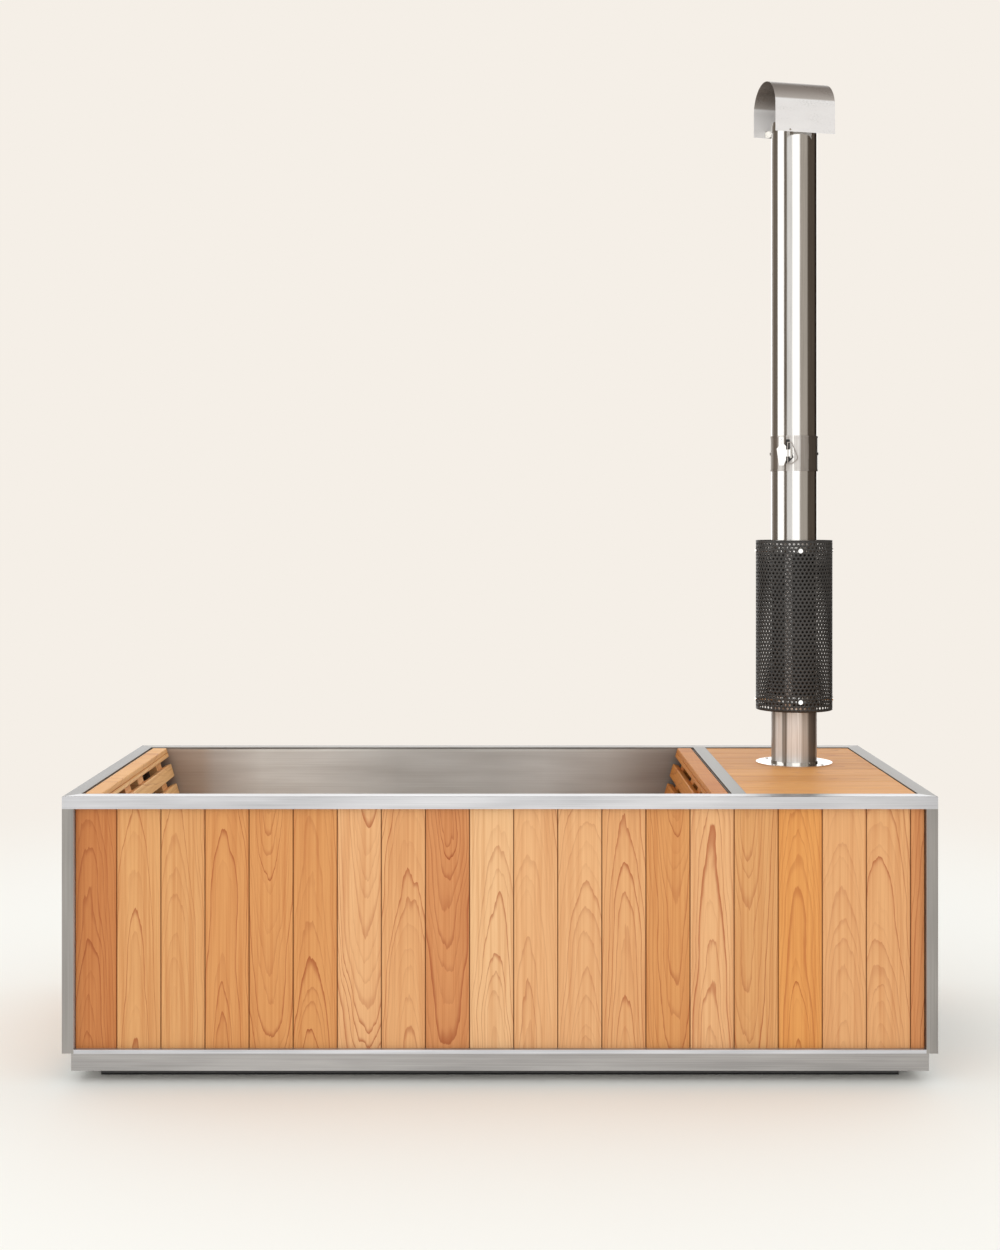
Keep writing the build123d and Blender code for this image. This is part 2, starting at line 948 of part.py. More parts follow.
def make_fire_grate():
    x0 = firebox_rear + firebox_wall + inner_play
    x1 = firebox_front - firebox_wall - inner_play
    half = firebox_half - firebox_wall - inner_play
    top = grate_level + grate_thickness
    grate = block(x0, x1, -half, half, grate_level, top)
    slots = []
    y = -half + ledge_depth + grate_bar
    while y + grate_slot < half - ledge_depth:
        left = x0 + grate_border
        right = x1 - grate_border
        low = grate_level - cut_margin
        slots.append(block(left, right, y, y + grate_slot, low, top + cut_margin))
        y += grate_bar + grate_slot
    return grate - slots


def make_baffle_plate():
    x0 = firebox_rear + firebox_wall + baffle_setback
    x1 = firebox_front - firebox_wall - inner_play
    half = firebox_half - firebox_wall - inner_play
    return block(x0, x1, -half, half, baffle_level, baffle_level + baffle_thickness)


def make_stove_cradle():
    rails = []
    half = firebox_half - cradle_inset
    last = firebox_front - cradle_setback - cradle_width
    for x in (firebox_rear + cradle_setback, last):
        end = x + cradle_width
        rails.append(block(x, end, -half, half, firebox_bottom - cradle_wall, firebox_bottom))
        for leg in (x, end - cradle_wall):
            foot = block(
                leg, leg + cradle_wall, -half, half, plate_top, firebox_bottom - cradle_wall
            )
            rails[-1] = rails[-1] + foot
    return group(rails)


# Stove front: fascia, door with its glass and lock, ash drawer with its air wheel
door_back = fascia_front + door_gap
door_front = door_back + door_thickness
door_half = mouth_half + door_side_lap
door_bottom = mouth_bottom - door_lap
door_top = mouth_top + door_lap
door_middle = (mouth_bottom + mouth_top) / 2
window_half = mouth_half - window_margin
window_bottom = mouth_bottom + window_margin
window_top = mouth_top - window_margin
seal_half = mouth_half + seal_offset + seal_width
seal_bottom = mouth_bottom - seal_offset - seal_width
seal_top = mouth_top + seal_offset + seal_width
hinge_x = door_back + door_thickness / 2
hinge_y = door_half + hinge_offset
hinge_levels = [door_bottom + hinge_margin, door_top - hinge_margin]
knuckle_half = knuckle_height / 2
handle_y = -door_half + handle_inset
handle_z = door_middle


def hinge_ear(z0, z1):
    """One fixed ear of a hinge on the fascia."""
    ear = post(knuckle_radius, z0, z1, hinge_x, hinge_y)
    half = hinge_web / 2
    web = block(fascia_front - weld_bite, hinge_x, hinge_y - half, hinge_y + half, z0, z1)
    return ear + web


def make_stove_fascia():
    x0 = firebox_front - cut_margin
    x1 = fascia_front + cut_margin
    plate = block(
        firebox_front, fascia_front, -fascia_half, fascia_half, ledge_top, rail_underside
    )
    hole = seal_half + fascia_play
    plate -= block(x0, x1, -hole, hole, seal_bottom - fascia_play, seal_top + fascia_play)
    hole = ash_half + fascia_play
    plate -= block(x0, x1, -hole, hole, firebox_bottom, ash_top + fascia_play)
    for z in hinge_levels:
        top = z + knuckle_half + part_clearance
        bottom = z - knuckle_half - part_clearance
        plate = plate + hinge_ear(top, top + ear_height)
        plate = plate + hinge_ear(bottom - ear_height, bottom)
        low = bottom - ear_height - cut_margin
        high = top + ear_height + cut_margin
        plate = plate - post(pin_radius, low, high, hinge_x, hinge_y)
    return plate


def make_hinge_pins():
    pins = []
    reach = knuckle_half + part_clearance + ear_height
    for z in hinge_levels:
        pin = post(pin_radius, z - reach, z + reach, hinge_x, hinge_y)
        head = post(pin_radius + pin_head, z + reach, z + reach + pin_head, hinge_x, hinge_y)
        pins.append(pin + head)
    return group(pins)


def make_stove_door():
    door = block(door_back, door_front, -door_half, door_half, door_bottom, door_top)
    door = fillet(door.edges().filter_by(Axis.X), door_corner)
    door = fillet(door.faces().sort_by(Axis.X)[-1].edges(), door_edge_round)
    back = door_back - cut_margin
    front = door_front + cut_margin
    groove = window_ring(back, door_back + seal_groove, seal_half, seal_bottom, seal_top, seal_width)
    door = door - groove
    pocket = glass_lap + glass_play
    pocket_depth = door_back + retainer_thickness + glass_thickness + part_clearance
    door -= block(
        back,
        pocket_depth,
        -window_half - pocket,
        window_half + pocket,
        window_bottom - pocket,
        window_top + pocket,
    )
    door -= block(back, front, -window_half, window_half, window_bottom, window_top)
    for z in hinge_levels:
        low = z - knuckle_half
        high = z + knuckle_half
        web = knuckle_web / 2
        door = door + post(knuckle_radius, low, high, hinge_x, hinge_y)
        door = door + block(
            hinge_x - web, hinge_x + web, door_half - knuckle_bite, hinge_y, low, high
        )
        bore = pin_radius + running_clearance
        door = door - post(bore, low - cut_margin, high + cut_margin, hinge_x, hinge_y)
    return door - rod(spindle_radius + running_clearance, back, front, handle_y, handle_z)


def make_door_seal():
    front = door_back + seal_groove
    back = firebox_front + part_clearance
    return window_ring(back, front, seal_half, seal_bottom, seal_top, seal_width)


def make_door_glass():
    x0 = door_back + retainer_thickness
    half = window_half + glass_lap
    z0 = window_bottom - glass_lap
    z1 = window_top + glass_lap
    return block(x0, x0 + glass_thickness, -half, half, z0, z1)


def make_glass_retainer():
    half = window_half + glass_lap
    z0 = window_bottom - glass_lap
    z1 = window_top + glass_lap
    x1 = door_back + retainer_thickness
    return window_ring(door_back, x1, half, z0, z1, glass_lap + retainer_lip)


latch_back = door_front + handle_plate_gap
arm_back = latch_back + latch_plate + latch_play
arm_end = handle_y + handle_length


def make_door_handle():
    hub_back = door_front + part_clearance
    hub = rod(handle_hub_radius, hub_back, latch_back + handle_hub_depth, handle_y, handle_z)
    spindle = rod(spindle_radius, door_back + door_gap, latch_back, handle_y, handle_z)
    tongue = block(
        latch_back,
        latch_back + latch_plate,
        handle_y - latch_width / 2,
        handle_y + latch_width / 2,
        handle_z - tongue_reach,
        handle_z,
    )
    low = handle_z - arm_height / 2
    arm = block(arm_back, arm_back + arm_thickness, handle_y, arm_end, low, low + arm_height)
    return hub + [spindle, tongue, arm]


def make_handle_grip():
    centre_y = arm_end + grip_overhang - grip_length / 2
    centre = Pos(arm_back + arm_thickness / 2, centre_y, handle_z)
    grip = centre * Rot(90, 0, 0) * Cylinder(grip_radius, grip_length)
    grip = fillet(grip.edges(), grip_round)
    play = running_clearance
    slot = block(
        arm_back - play,
        arm_back + arm_thickness + play,
        handle_y,
        arm_end + play,
        handle_z - arm_height / 2 - play,
        handle_z + arm_height / 2 + play,
    )
    return grip - slot


def make_latch_keeper():
    tip = handle_y - tongue_reach
    inner = tip - keeper_gap
    outer = inner - keeper_width
    half = latch_width + latch_play
    claw_front = arm_back + keeper_claw
    stem = block(fascia_front, claw_front, outer, inner, handle_z - half, handle_z + half)
    claw = block(arm_back, claw_front, outer, tip + keeper_lap, handle_z - half, handle_z + half)
    return stem + claw


drawer_bottom = firebox_bottom + firebox_wall + drawer_rise
drawer_half = ash_half - drawer_side_play
drawer_top = ash_top - drawer_head_play
drawer_back = door_back - drawer_length
drawer_front_half = drawer_front_width / 2
drawer_front_bottom = firebox_bottom + drawer_front_rise
drawer_front_top = ash_top + drawer_front_overlap
drawer_face = door_back + drawer_front
wheel_z = (drawer_front_bottom + drawer_front_top) / 2 + wheel_offset
wheel_back = drawer_face + part_clearance


def wheel_holes(x0, x1):
    """The three air holes in the wheel and behind it."""
    holes = []
    for angle in (90, 210, 330):
        y = wheel_hole_ring * math.cos(math.radians(angle))
        z = wheel_z + wheel_hole_ring * math.sin(math.radians(angle))
        holes.append(rod(wheel_hole_radius, x0, x1, y, z))
    return holes


def make_ash_drawer():
    """Sheets welded edge to edge behind a thicker front."""
    half = drawer_half
    inner = drawer_bottom + drawer_wall
    plates = [
        block(drawer_back, door_back, -half, half, drawer_bottom, inner),
        block(drawer_back, drawer_back + drawer_wall, -half, half, inner, drawer_top),
    ]
    for side in (-1, 1):
        y0, y1 = span(side, half - drawer_wall, half)
        plates.append(block(drawer_back + drawer_wall, door_back, y0, y1, inner, drawer_top))
    front = block(
        door_back,
        drawer_face,
        -drawer_front_half,
        drawer_front_half,
        drawer_front_bottom,
        drawer_front_top,
    )
    low = door_back - cut_margin
    high = drawer_face + cut_margin
    front = front - wheel_holes(low, high) - rod(wheel_bolt_radius, low, high, 0, wheel_z)
    lip_half = drawer_front_half - drawer_lip_inset
    lip_end = drawer_face + drawer_lip_depth
    lip_top = drawer_front_bottom + drawer_lip_thickness
    lip = block(drawer_face, lip_end, -lip_half, lip_half, drawer_front_bottom, lip_top)
    return group(plates + [front, lip])


def make_air_wheel():
    wheel_front = wheel_back + wheel_thickness
    wheel = rod(wheel_radius, wheel_back, wheel_front, 0, wheel_z)
    wheel = wheel + rod(wheel_knob_radius, wheel_back, wheel_back + wheel_knob_depth, 0, wheel_z)
    low = wheel_back - cut_margin
    high = wheel_back + wheel_knob_depth + cut_margin
    bore = rod(wheel_bolt_radius + running_clearance, low, high, 0, wheel_z)
    return wheel - bore - wheel_holes(low, wheel_front + cut_margin)


def make_wheel_bolt():
    head_back = wheel_back + wheel_knob_depth + part_clearance
    shank = rod(wheel_bolt_radius, door_back, head_back, 0, wheel_z)
    head = rod(2 * wheel_bolt_radius, head_back, head_back + wheel_bolt_head, 0, wheel_z)
    return shank + head


# Flue
def make_flue_lower():
    inner = flue_radius - flue_wall
    wall = tube(flue_radius, inner, flue_bottom, flue_joint)
    outer = inner - part_clearance
    bore = outer - flue_wall
    root = flue_joint - spigot_root
    sleeve = tube(outer, bore, root, flue_joint + spigot_length)
    weld = tube(inner + running_clearance, bore, root, root + spigot_weld)
    return on_flue(wall + weld + sleeve)


def make_flue_upper():
    return on_flue(tube(flue_radius, flue_radius - flue_wall, flue_joint, flue_top))


flange_radius = flue_radius + flange_width
flange_top = deck_top + flange_thickness


def flange_screw_spots():
    """The places of the flange's screws."""
    ring = flange_radius - flange_screw_inset
    spots = []
    for angle in (45, 135, 225, 315):
        x = flue_x + ring * math.cos(math.radians(angle))
        y = flue_y + ring * math.sin(math.radians(angle))
        spots.append((x, y))
    return spots


def flange_screw_holes(radius):
    """Upright holes for the flange's screws."""
    low = deck_underside - cut_margin
    high = flange_top + cut_margin
    return [post(radius, low, high, x, y) for x, y in flange_screw_spots()]


def make_deck_flange():
    ring = tube(flange_radius, sleeve_radius, deck_top, flange_top, flue_x, flue_y)
    lip_radius = sleeve_radius + flange_thickness
    lip = tube(lip_radius, sleeve_radius, deck_top, flange_top + flange_lip, flue_x, flue_y)
    return ring + lip - flange_screw_holes(flange_screw_radius + part_clearance)


def make_flange_screws():
    screws = []
    for x, y in flange_screw_spots():
        shank = post(flange_screw_radius, deck_underside + deck_board_bevel, flange_top, x, y)
        head = post(flange_screw_head, flange_top, flange_top + flange_screw_dome, x, y)
        head = fillet(head.edges().group_by(Axis.Z)[-1], flange_screw_dome * 0.6)
        screws.append(shank + head)
    return group(screws)


guard_radius = flue_radius + guard_standoff
guard_bottom = deck_top + guard_rise
guard_top = guard_bottom + guard_height
guard_fixings = [guard_bottom + guard_fixing_margin, guard_top - guard_fixing_margin]
guard_turns = (0, 90, 180, 270)


def radial(shape, angle, z):
    """Turns a piece made along X so that it points out from the flue."""
    return Pos(0, 0, z) * Rot(0, 0, angle) * shape


def make_heat_guard():
    guard = tube(guard_radius, guard_radius - guard_sheet, guard_bottom, guard_top)
    radius = guard_screw_radius + part_clearance
    for z in guard_fixings:
        for angle in guard_turns:
            hole = rod(radius, guard_radius - cut_margin, guard_radius + cut_margin, 0, 0)
            guard = guard - radial(hole, angle, z)
    return on_flue(guard)


def make_guard_clamps():
    clamps = []
    outer = sleeve_radius + clamp_thickness
    boss_end = guard_radius - guard_sheet - part_clearance
    half = clamp_height / 2
    for z in guard_fixings:
        ring = tube(outer, sleeve_radius, z - half, z + half)
        for angle in guard_turns:
            boss = rod(boss_radius, sleeve_radius + clamp_thickness / 2, boss_end, 0, 0)
            ring = ring + radial(boss, angle, z)
        for angle in guard_turns:
            hole_start = guard_radius - guard_screw_length - cut_margin
            hole = rod(guard_screw_radius + running_clearance, hole_start, guard_radius, 0, 0)
            ring = ring - radial(hole, angle, z)
        clamps.append(on_flue(ring))
    return group(clamps)


def make_guard_screws():
    screws = []
    start = guard_radius - guard_screw_length
    for z in guard_fixings:
        for angle in guard_turns:
            shank = rod(guard_screw_radius, start, guard_radius + weld_bite, 0, 0)
            head = rod(guard_screw_head, guard_radius, guard_radius + guard_screw_dome, 0, 0)
            screws.append(on_flue(radial(shank + head, angle, z)))
    return group(screws)


# Locking band and its toggle latch, made facing -Y and then turned round the flue
band_outer = sleeve_radius + band_thickness
band_half = band_height / 2
pivot_x = -pivot_offset
pivot_y = -band_outer - pivot_rise
bail_x = pivot_x - bail_offset
bail_y = pivot_y - bail_rise
barrel_half = barrel_height / 2
ear_top = barrel_half + part_clearance + ear_thickness


def on_band(shape):
    """Places a piece of the latch on the band at the latch's angle."""
    return Pos(flue_x, flue_y, flue_joint) * Rot(0, 0, latch_angle) * shape


def band_patch(rise, x0, x1, height):
    """A curved plate that lies on the band between two places beside the latch."""
    plate = tube(band_outer + rise, band_outer - weld_bite, -height / 2, height / 2)
    return plate & block(x0, x1, -2 * band_outer, 0, -height / 2, height / 2)


def make_locking_band():
    ring = tube(band_outer, sleeve_radius, -band_half, band_half)
    rim_middle = band_half - band_rim_inset
    for z in (-rim_middle, rim_middle):
        low = z - band_rim / 2
        ring = ring + tube(band_outer + band_rim_rise, band_outer - weld_bite, low, low + band_rim)
    base_end = pivot_x + barrel_radius
    ring = ring + band_patch(
        latch_base_rise, base_end - latch_base_length, base_end, latch_base_height
    )
    ring = ring + band_patch(catch_plate_rise, base_end, catch_plate_end, catch_plate_height)
    rib = band_patch(band_rim_rise, -rib_width / 2, rib_width / 2, rib_height)
    ring = ring + Pos(0, 0, rib_lift) * Rot(0, 0, rib_angle) * rib
    for angle in rivet_angles:
        rivet = Pos(0, -band_outer, 0) * Rot(90, 0, 0) * Cylinder(rivet_radius, 2 * rivet_rise)
        rivet = rivet - post(sleeve_radius + weld_bite, -rivet_radius, rivet_radius)
        ring = ring + Rot(0, 0, angle) * rivet
    ring = ring - block(
        base_end,
        base_end + band_gap,
        -2 * band_outer,
        0,
        -band_half - cut_margin,
        band_half + cut_margin,
    )
    ear_root = -sleeve_radius - weld_bite
    for side in (-1, 1):
        z0, z1 = span(side, barrel_half + part_clearance, ear_top)
        ear = block(pivot_x - barrel_radius, pivot_x + barrel_radius, pivot_y, ear_root, z0, z1)
        ring = ring + ear + post(barrel_radius, z0, z1, pivot_x, pivot_y)
    ring = ring - post(pivot_pin_radius, -band_half, band_half, pivot_x, pivot_y)
    catch_right = catch_x - bail_wire - part_clearance
    catch_left = catch_right - catch_thickness
    catch_half = bail_tip / 2 - bail_wire - part_clearance
    catch_top = bail_y - 2 * bail_wire
    catch_low = -bail_drop - catch_half
    catch_high = -bail_drop + catch_half
    catch = block(catch_left, catch_right, catch_top, 0, catch_low, catch_high)
    catch = catch - post(sleeve_radius + weld_bite, -band_half, band_half)
    return on_band(ring + catch)


def make_band_pin():
    reach = ear_top + pivot_pin_radius
    return on_band(post(pivot_pin_radius, -reach, reach, pivot_x, pivot_y))


def make_band_lever():
    barrel = post(barrel_radius, -barrel_half, barrel_half, pivot_x, pivot_y)
    knuckle = post(bail_knuckle, -barrel_half, barrel_half, bail_x, bail_y)
    web = block(
        bail_x, pivot_x, bail_y - lever_thickness, pivot_y + bail_rise, -barrel_half, barrel_half
    )
    flap_start = bail_x - lever_neck
    flap_back = bail_y - weld_bite
    flap_face = flap_back - lever_thickness
    neck_start = flap_start - lever_neck
    neck = block(neck_start, bail_x, flap_face, flap_back, -barrel_half, barrel_half)
    tip_left = flap_start - lever_tip_end
    tip_right = flap_start - lever_tip_start
    side = flap_start - lever_width
    outline = [
        (tip_right, lever_top),
        (tip_left, lever_top),
        (tip_left, lever_shoulder),
        (side, lever_shoulder - lever_tip_start),
        (tip_left, -lever_bottom),
        (tip_right, -lever_bottom),
        (flap_start, -lever_shoulder),
        (flap_start, lever_shoulder),
        (tip_right, lever_shoulder + lever_tip_start),
    ]
    face = Plane.XZ * make_face(Polyline(*outline, close=True))
    flap = Pos(0, flap_back, 0) * extrude(face, amount=lever_thickness)
    flap = fillet(flap.edges().filter_by(Axis.Y), lever_round)
    hole_spacing = (lever_top - lever_shoulder) / 3
    for z in (lever_top - hole_spacing, lever_top - 2 * hole_spacing):
        centre = Pos((tip_left + tip_right) / 2, flap_back, z)
        flap = flap - centre * Rot(90, 0, 0) * Cylinder(lever_hole_radius, 4 * lever_thickness)
    lever = barrel + [knuckle, web, neck, flap]
    pin_bore = pivot_pin_radius + running_clearance
    bail_bore = bail_wire + running_clearance
    lever = lever - post(pin_bore, -barrel_height, barrel_height, pivot_x, pivot_y)
    lever = lever - post(bail_bore, -barrel_height, barrel_height, bail_x, bail_y)
    return on_band(lever)


def wire(start, end):
    """A straight round wire between two points with rounded ends."""
    first = Vector(*start)
    run = Vector(*end) - first
    plane = Plane(origin=first, z_dir=run)
    body = plane * Pos(0, 0, run.length / 2) * Cylinder(bail_wire, run.length)
    return body + [Pos(*start) * Sphere(bail_wire), Pos(*end) * Sphere(bail_wire)]


def make_band_bail():
    bend_x = pivot_x + bail_straight
    half = bail_height / 2
    corners = [
        (bail_x, bail_y, -half),
        (bail_x, bail_y, half),
        (bend_x, bail_y, half),
        (catch_x, bail_y, -bail_drop + bail_tip / 2),
        (catch_x, bail_y, -bail_drop - bail_tip / 2),
        (bend_x, bail_y, -half),
    ]
    bail = wire(corners[0], corners[1])
    for i in range(1, len(corners)):
        bail = bail + wire(corners[i], corners[(i + 1) % len(corners)])
    return on_band(bail)


# Rain cap: an arched hood held by a strap round the pipe, its far wall shorter than the near one
hood_bottom = flue_top - hood_lap
hood_top = hood_bottom + hood_height
hood_half = hood_width / 2
wall_bottoms = {-1: hood_bottom, 1: hood_bottom + hood_back_lift}


def on_hood(shape):
    """Turns a piece of the rain cap with the hood."""
    return Pos(flue_x, flue_y, 0) * Rot(0, 0, hood_turn) * shape


def hood_body(half, bottom, top, length):
    """An arch-topped solid along X."""
    crown = rod(half, -length / 2, length / 2, 0, top - half)
    return crown + block(-length / 2, length / 2, -half, half, bottom, top - half)


def across_hood(radius, side, near, far):
    """A cylinder across one wall of the hood at the screw's place."""
    centre = Pos(strap_x, side * (near + far) / 2, wall_bottoms[side] + cap_screw_rise)
    return centre * Rot(90, 0, 0) * Cylinder(radius, far - near)


def make_rain_cap():
    outer = hood_body(hood_half, hood_bottom, hood_top, hood_length)
    inner = hood_body(
        hood_half - hood_sheet,
        hood_bottom - cut_margin,
        hood_top - hood_sheet,
        hood_length + 2 * cut_margin,
    )
    hole = cap_screw_radius + part_clearance
    near = hood_half - cut_margin
    far = hood_half + cut_margin
    hood = outer - inner - [across_hood(hole, side, near, far) for side in (-1, 1)]
    low = hood_bottom - cut_margin
    return on_hood(hood - block(-hood_length, hood_length, 0, far, low, wall_bottoms[1]))


def make_cap_strap():
    z0 = hood_bottom + strap_rise
    z1 = z0 + strap_height
    ring_outer = sleeve_radius + strap_sheet
    reach = hood_half - hood_sheet
    strap = post(ring_outer, z0, z1)
    for side in (-1, 1):
        y0, y1 = span(side, 0, reach)
        half = strap_sheet / 2
        strap = strap + block(strap_x - half, strap_x + half, y0, y1, z0, z1)
        y0, y1 = span(side, reach - strap_sheet, reach)
        half = strap_tab / 2
        tab_bottom = wall_bottoms[side] + strap_tab_rise
        strap = strap + block(strap_x - half, strap_x + half, y0, y1, tab_bottom, z1)
        hole = cap_screw_radius + running_clearance
        strap = strap - across_hood(hole, side, reach - cut_margin, reach + cut_margin)
    return on_hood(strap - post(sleeve_radius, z0 - cut_margin, z1 + cut_margin))


def make_cap_screws():
    screws = []
    for side in (-1, 1):
        tip = hood_half - cap_screw_length
        shank = across_hood(cap_screw_radius, side, tip, hood_half + weld_bite)
        head = across_hood(cap_screw_head, side, hood_half, hood_half + cap_screw_dome)
        screws.append(on_hood(shank + head))
    return group(screws)


# Drain
drain_x = basin_left + drain_setback
drain_level = base_height + drain_rise
valve_start = -half_length + valve_inset
valve_end = valve_start - valve_length
ball_x = (valve_start + valve_end) / 2 - ball_offset
stem_top = drain_level + valve_radius + stem_rise


def make_drain_waste():
    top = basin_floor + waste_flange_thickness
    flange = post(waste_flange_radius, basin_floor, top, drain_x, 0)
    flange = chamfer(flange.edges().group_by(Axis.Z)[-1], waste_flange_bevel)
    body = post(waste_radius, drain_level + waste_seat, basin_floor + weld_bite, drain_x, 0)
    bore_top = top - strainer_thickness
    waste = flange + body - post(waste_radius - waste_wall, drain_level, bore_top, drain_x, 0)
    for i, reach in enumerate(strainer_reaches):
        y = (i - (len(strainer_reaches) - 1) / 2) * strainer_pitch
        half = strainer_slot / 2
        low = bore_top - cut_margin
        waste -= block(drain_x - reach, drain_x + reach, y - half, y + half, low, top + cut_margin)
    return waste


def make_drain_pipe():
    bottom = drain_level - drain_pipe_radius
    start = valve_start - valve_socket
    elbow = post(waste_radius + elbow_wall, bottom, plinth_top - elbow_drop, drain_x, 0)
    body = elbow + rod(drain_pipe_radius, start, drain_x, 0, drain_level)
    bore = drain_pipe_radius - drain_pipe_wall
    body = body - rod(bore, start - cut_margin, drain_x, 0, drain_level)
    seat = drain_level + waste_seat
    socket = post(waste_radius + part_clearance, seat - part_clearance, plinth_top, drain_x, 0)
    well = post(bore, bottom + elbow_floor, seat + cut_margin, drain_x, 0)
    return body - [socket, well]


def make_drain_valve():
    body = rod(valve_radius, valve_end, valve_start, 0, drain_level)
    body = chamfer(body.edges(), valve_bevel)
    tip = valve_end - outlet_length
    outlet = rod(spigot_radius, tip, valve_end + cut_margin, 0, drain_level)
    tower_top = drain_level + valve_radius + tower_rise
    tower = post(stem_radius + tower_wall, drain_level, tower_top, ball_x, 0)
    body = body + [outlet, tower]
    socket_end = valve_start - valve_socket - part_clearance
    socket = rod(
        drain_pipe_radius + part_clearance, socket_end, valve_start + cut_margin, 0, drain_level
    )
    passage = rod(ball_bore - port_narrowing, tip - cut_margin, valve_start, 0, drain_level)
    seat = Pos(ball_x, 0, drain_level) * Sphere(ball_radius + part_clearance)
    stem_bore = post(stem_radius + running_clearance, drain_level, stem_top, ball_x, 0)
    return body - [socket, passage, seat, stem_bore]


def make_drain_ball():
    ball = Pos(ball_x, 0, drain_level) * Sphere(ball_radius)
    stem = post(stem_radius, drain_level, stem_top, ball_x, 0)
    bore = Pos(ball_x, 0, drain_level) * Rot(90, 0, 0) * Cylinder(ball_bore, 4 * ball_radius)
    return ball + stem - bore


def make_drain_lever():
    half = drain_lever_width / 2
    z0 = drain_level + valve_radius + tower_rise + drain_lever_gap
    z1 = z0 + drain_lever_thickness
    hub = post(half, z0, z1, ball_x, 0)
    lever = hub + block(ball_x - half, ball_x + half, 0, drain_lever_length, z0, z1)
    tip = lever.edges().filter_by(Axis.Z).sort_by(Axis.Y)[-2:]
    lever = fillet(tip, half * 0.9)
    return lever - post(stem_radius, z0 - cut_margin, z1 + cut_margin, ball_x, 0)


nodes = {
    "base_rubber": make_base_rubber(),
    "base_frame": make_base_frame(),
    "plinth_skirt": make_plinth_skirt(),
    "base_plate": make_base_plate(),
    "corner_posts": make_corner_posts(),
    "bottom_rails": make_bottom_rails(),
    "top_rail_front": make_long_rail(-1),
    "top_rail_back": make_long_rail(1),
    "top_rail_left": make_end_rail(-half_length, left_rail_inner),
    "top_rail_right": make_end_rail(half_length, bay_right),
    "divider_rail": make_divider_rail(),
    "cladding_front": make_side_cladding(-1),
    "cladding_back": make_side_cladding(1),
    "cladding_left": make_left_cladding(),
    "cladding_right": make_right_cladding(),
    "cladding_battens": make_cladding_battens(),
    "insulation": make_insulation(),
    "tub_liner": make_tub_liner(),
    "backrest_left": make_left_backrest(),
    "backrest_right": make_right_backrest(),
    "stove_bay_lining": make_stove_bay_lining(),
    "deck_boards": make_deck_boards(),
    "deck_battens": make_deck_battens(),
    "deck_heat_shield": make_deck_heat_shield(),
    "firebox": make_firebox(),
    "water_jacket": make_water_jacket(),
    "circulation_pipes": make_circulation_pipes(),
    "port_grilles": make_port_grilles(),
    "fire_grate": make_fire_grate(),
    "baffle_plate": make_baffle_plate(),
    "stove_cradle": make_stove_cradle(),
    "stove_fascia": make_stove_fascia(),
    "hinge_pins": make_hinge_pins(),
    "stove_door": make_stove_door(),
    "door_seal": make_door_seal(),
    "door_glass": make_door_glass(),
    "glass_retainer": make_glass_retainer(),
    "door_handle": make_door_handle(),
    "handle_grip": make_handle_grip(),
    "latch_keeper": make_latch_keeper(),
    "ash_drawer": group([make_ash_drawer(), make_wheel_bolt()]),
    "air_wheel": make_air_wheel(),
    "flue_lower": make_flue_lower(),
    "flue_upper": make_flue_upper(),
    "deck_flange": make_deck_flange(),
    "flange_screws": make_flange_screws(),
    "heat_guard": make_heat_guard(),
    "guard_clamps": make_guard_clamps(),
    "flue_screws": group([make_guard_screws(), make_cap_screws()]),
    "locking_band": make_locking_band(),
    "band_pin": make_band_pin(),
    "band_lever": make_band_lever(),
    "band_bail": make_band_bail(),
    "rain_cap": make_rain_cap(),
    "cap_strap": make_cap_strap(),
    "drain_waste": make_drain_waste(),
    "drain_pipe": make_drain_pipe(),
    "drain_valve": make_drain_valve(),
    "drain_ball": make_drain_ball(),
    "drain_lever": make_drain_lever(),
}

for name, shape in nodes.items():
    export_step(shape, "parts/" + name + ".step")
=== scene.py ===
import math

import bmesh
import bpy
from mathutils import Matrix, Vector


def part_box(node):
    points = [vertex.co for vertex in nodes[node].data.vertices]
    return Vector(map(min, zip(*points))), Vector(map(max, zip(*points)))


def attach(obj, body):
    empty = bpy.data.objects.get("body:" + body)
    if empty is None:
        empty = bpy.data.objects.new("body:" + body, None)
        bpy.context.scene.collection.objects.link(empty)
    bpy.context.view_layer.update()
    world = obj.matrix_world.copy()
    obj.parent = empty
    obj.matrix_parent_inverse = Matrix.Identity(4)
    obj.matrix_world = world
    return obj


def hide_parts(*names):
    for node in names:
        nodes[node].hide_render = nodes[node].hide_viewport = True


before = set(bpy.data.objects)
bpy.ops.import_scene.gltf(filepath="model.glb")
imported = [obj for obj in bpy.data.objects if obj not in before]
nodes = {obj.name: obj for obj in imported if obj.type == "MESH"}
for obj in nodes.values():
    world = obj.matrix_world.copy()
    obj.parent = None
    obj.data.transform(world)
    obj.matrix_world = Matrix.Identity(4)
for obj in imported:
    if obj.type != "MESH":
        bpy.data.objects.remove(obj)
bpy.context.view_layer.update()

# Places and sizes read from the frame, in metres
MM = 0.001
cladding_low, cladding_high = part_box("cladding_front")
left_cladding_low, left_cladding_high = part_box("cladding_left")
deck_low, deck_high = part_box("deck_boards")
guard_low, guard_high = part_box("heat_guard")
upper_low, upper_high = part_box("flue_upper")
lower_low, lower_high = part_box("flue_lower")
hood_low, hood_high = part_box("rain_cap")
rim_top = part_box("top_rail_front")[1].z
flue_x = (upper_low.x + upper_high.x) / 2
flue_y = (upper_low.y + upper_high.y) / 2
flue_radius = (upper_high.x - upper_low.x) / 2
board_pitch = 113.6 * MM
board_middle = (cladding_low.z + cladding_high.z) / 2
deck_pitch = (deck_high.y - deck_low.y) / 8
first_board = 107.0 * MM
slat_pitch = 60.0 * MM
slat_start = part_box("backrest_left")[1].z - 18.0 * MM

# Camera, solved from the rim's corners, the posts and the flue
camera_distance = 4.944
camera_height = 1.4578
image_height_px = 1250.0
focal_px = 1731.0
horizon_below_centre_px = -108.0


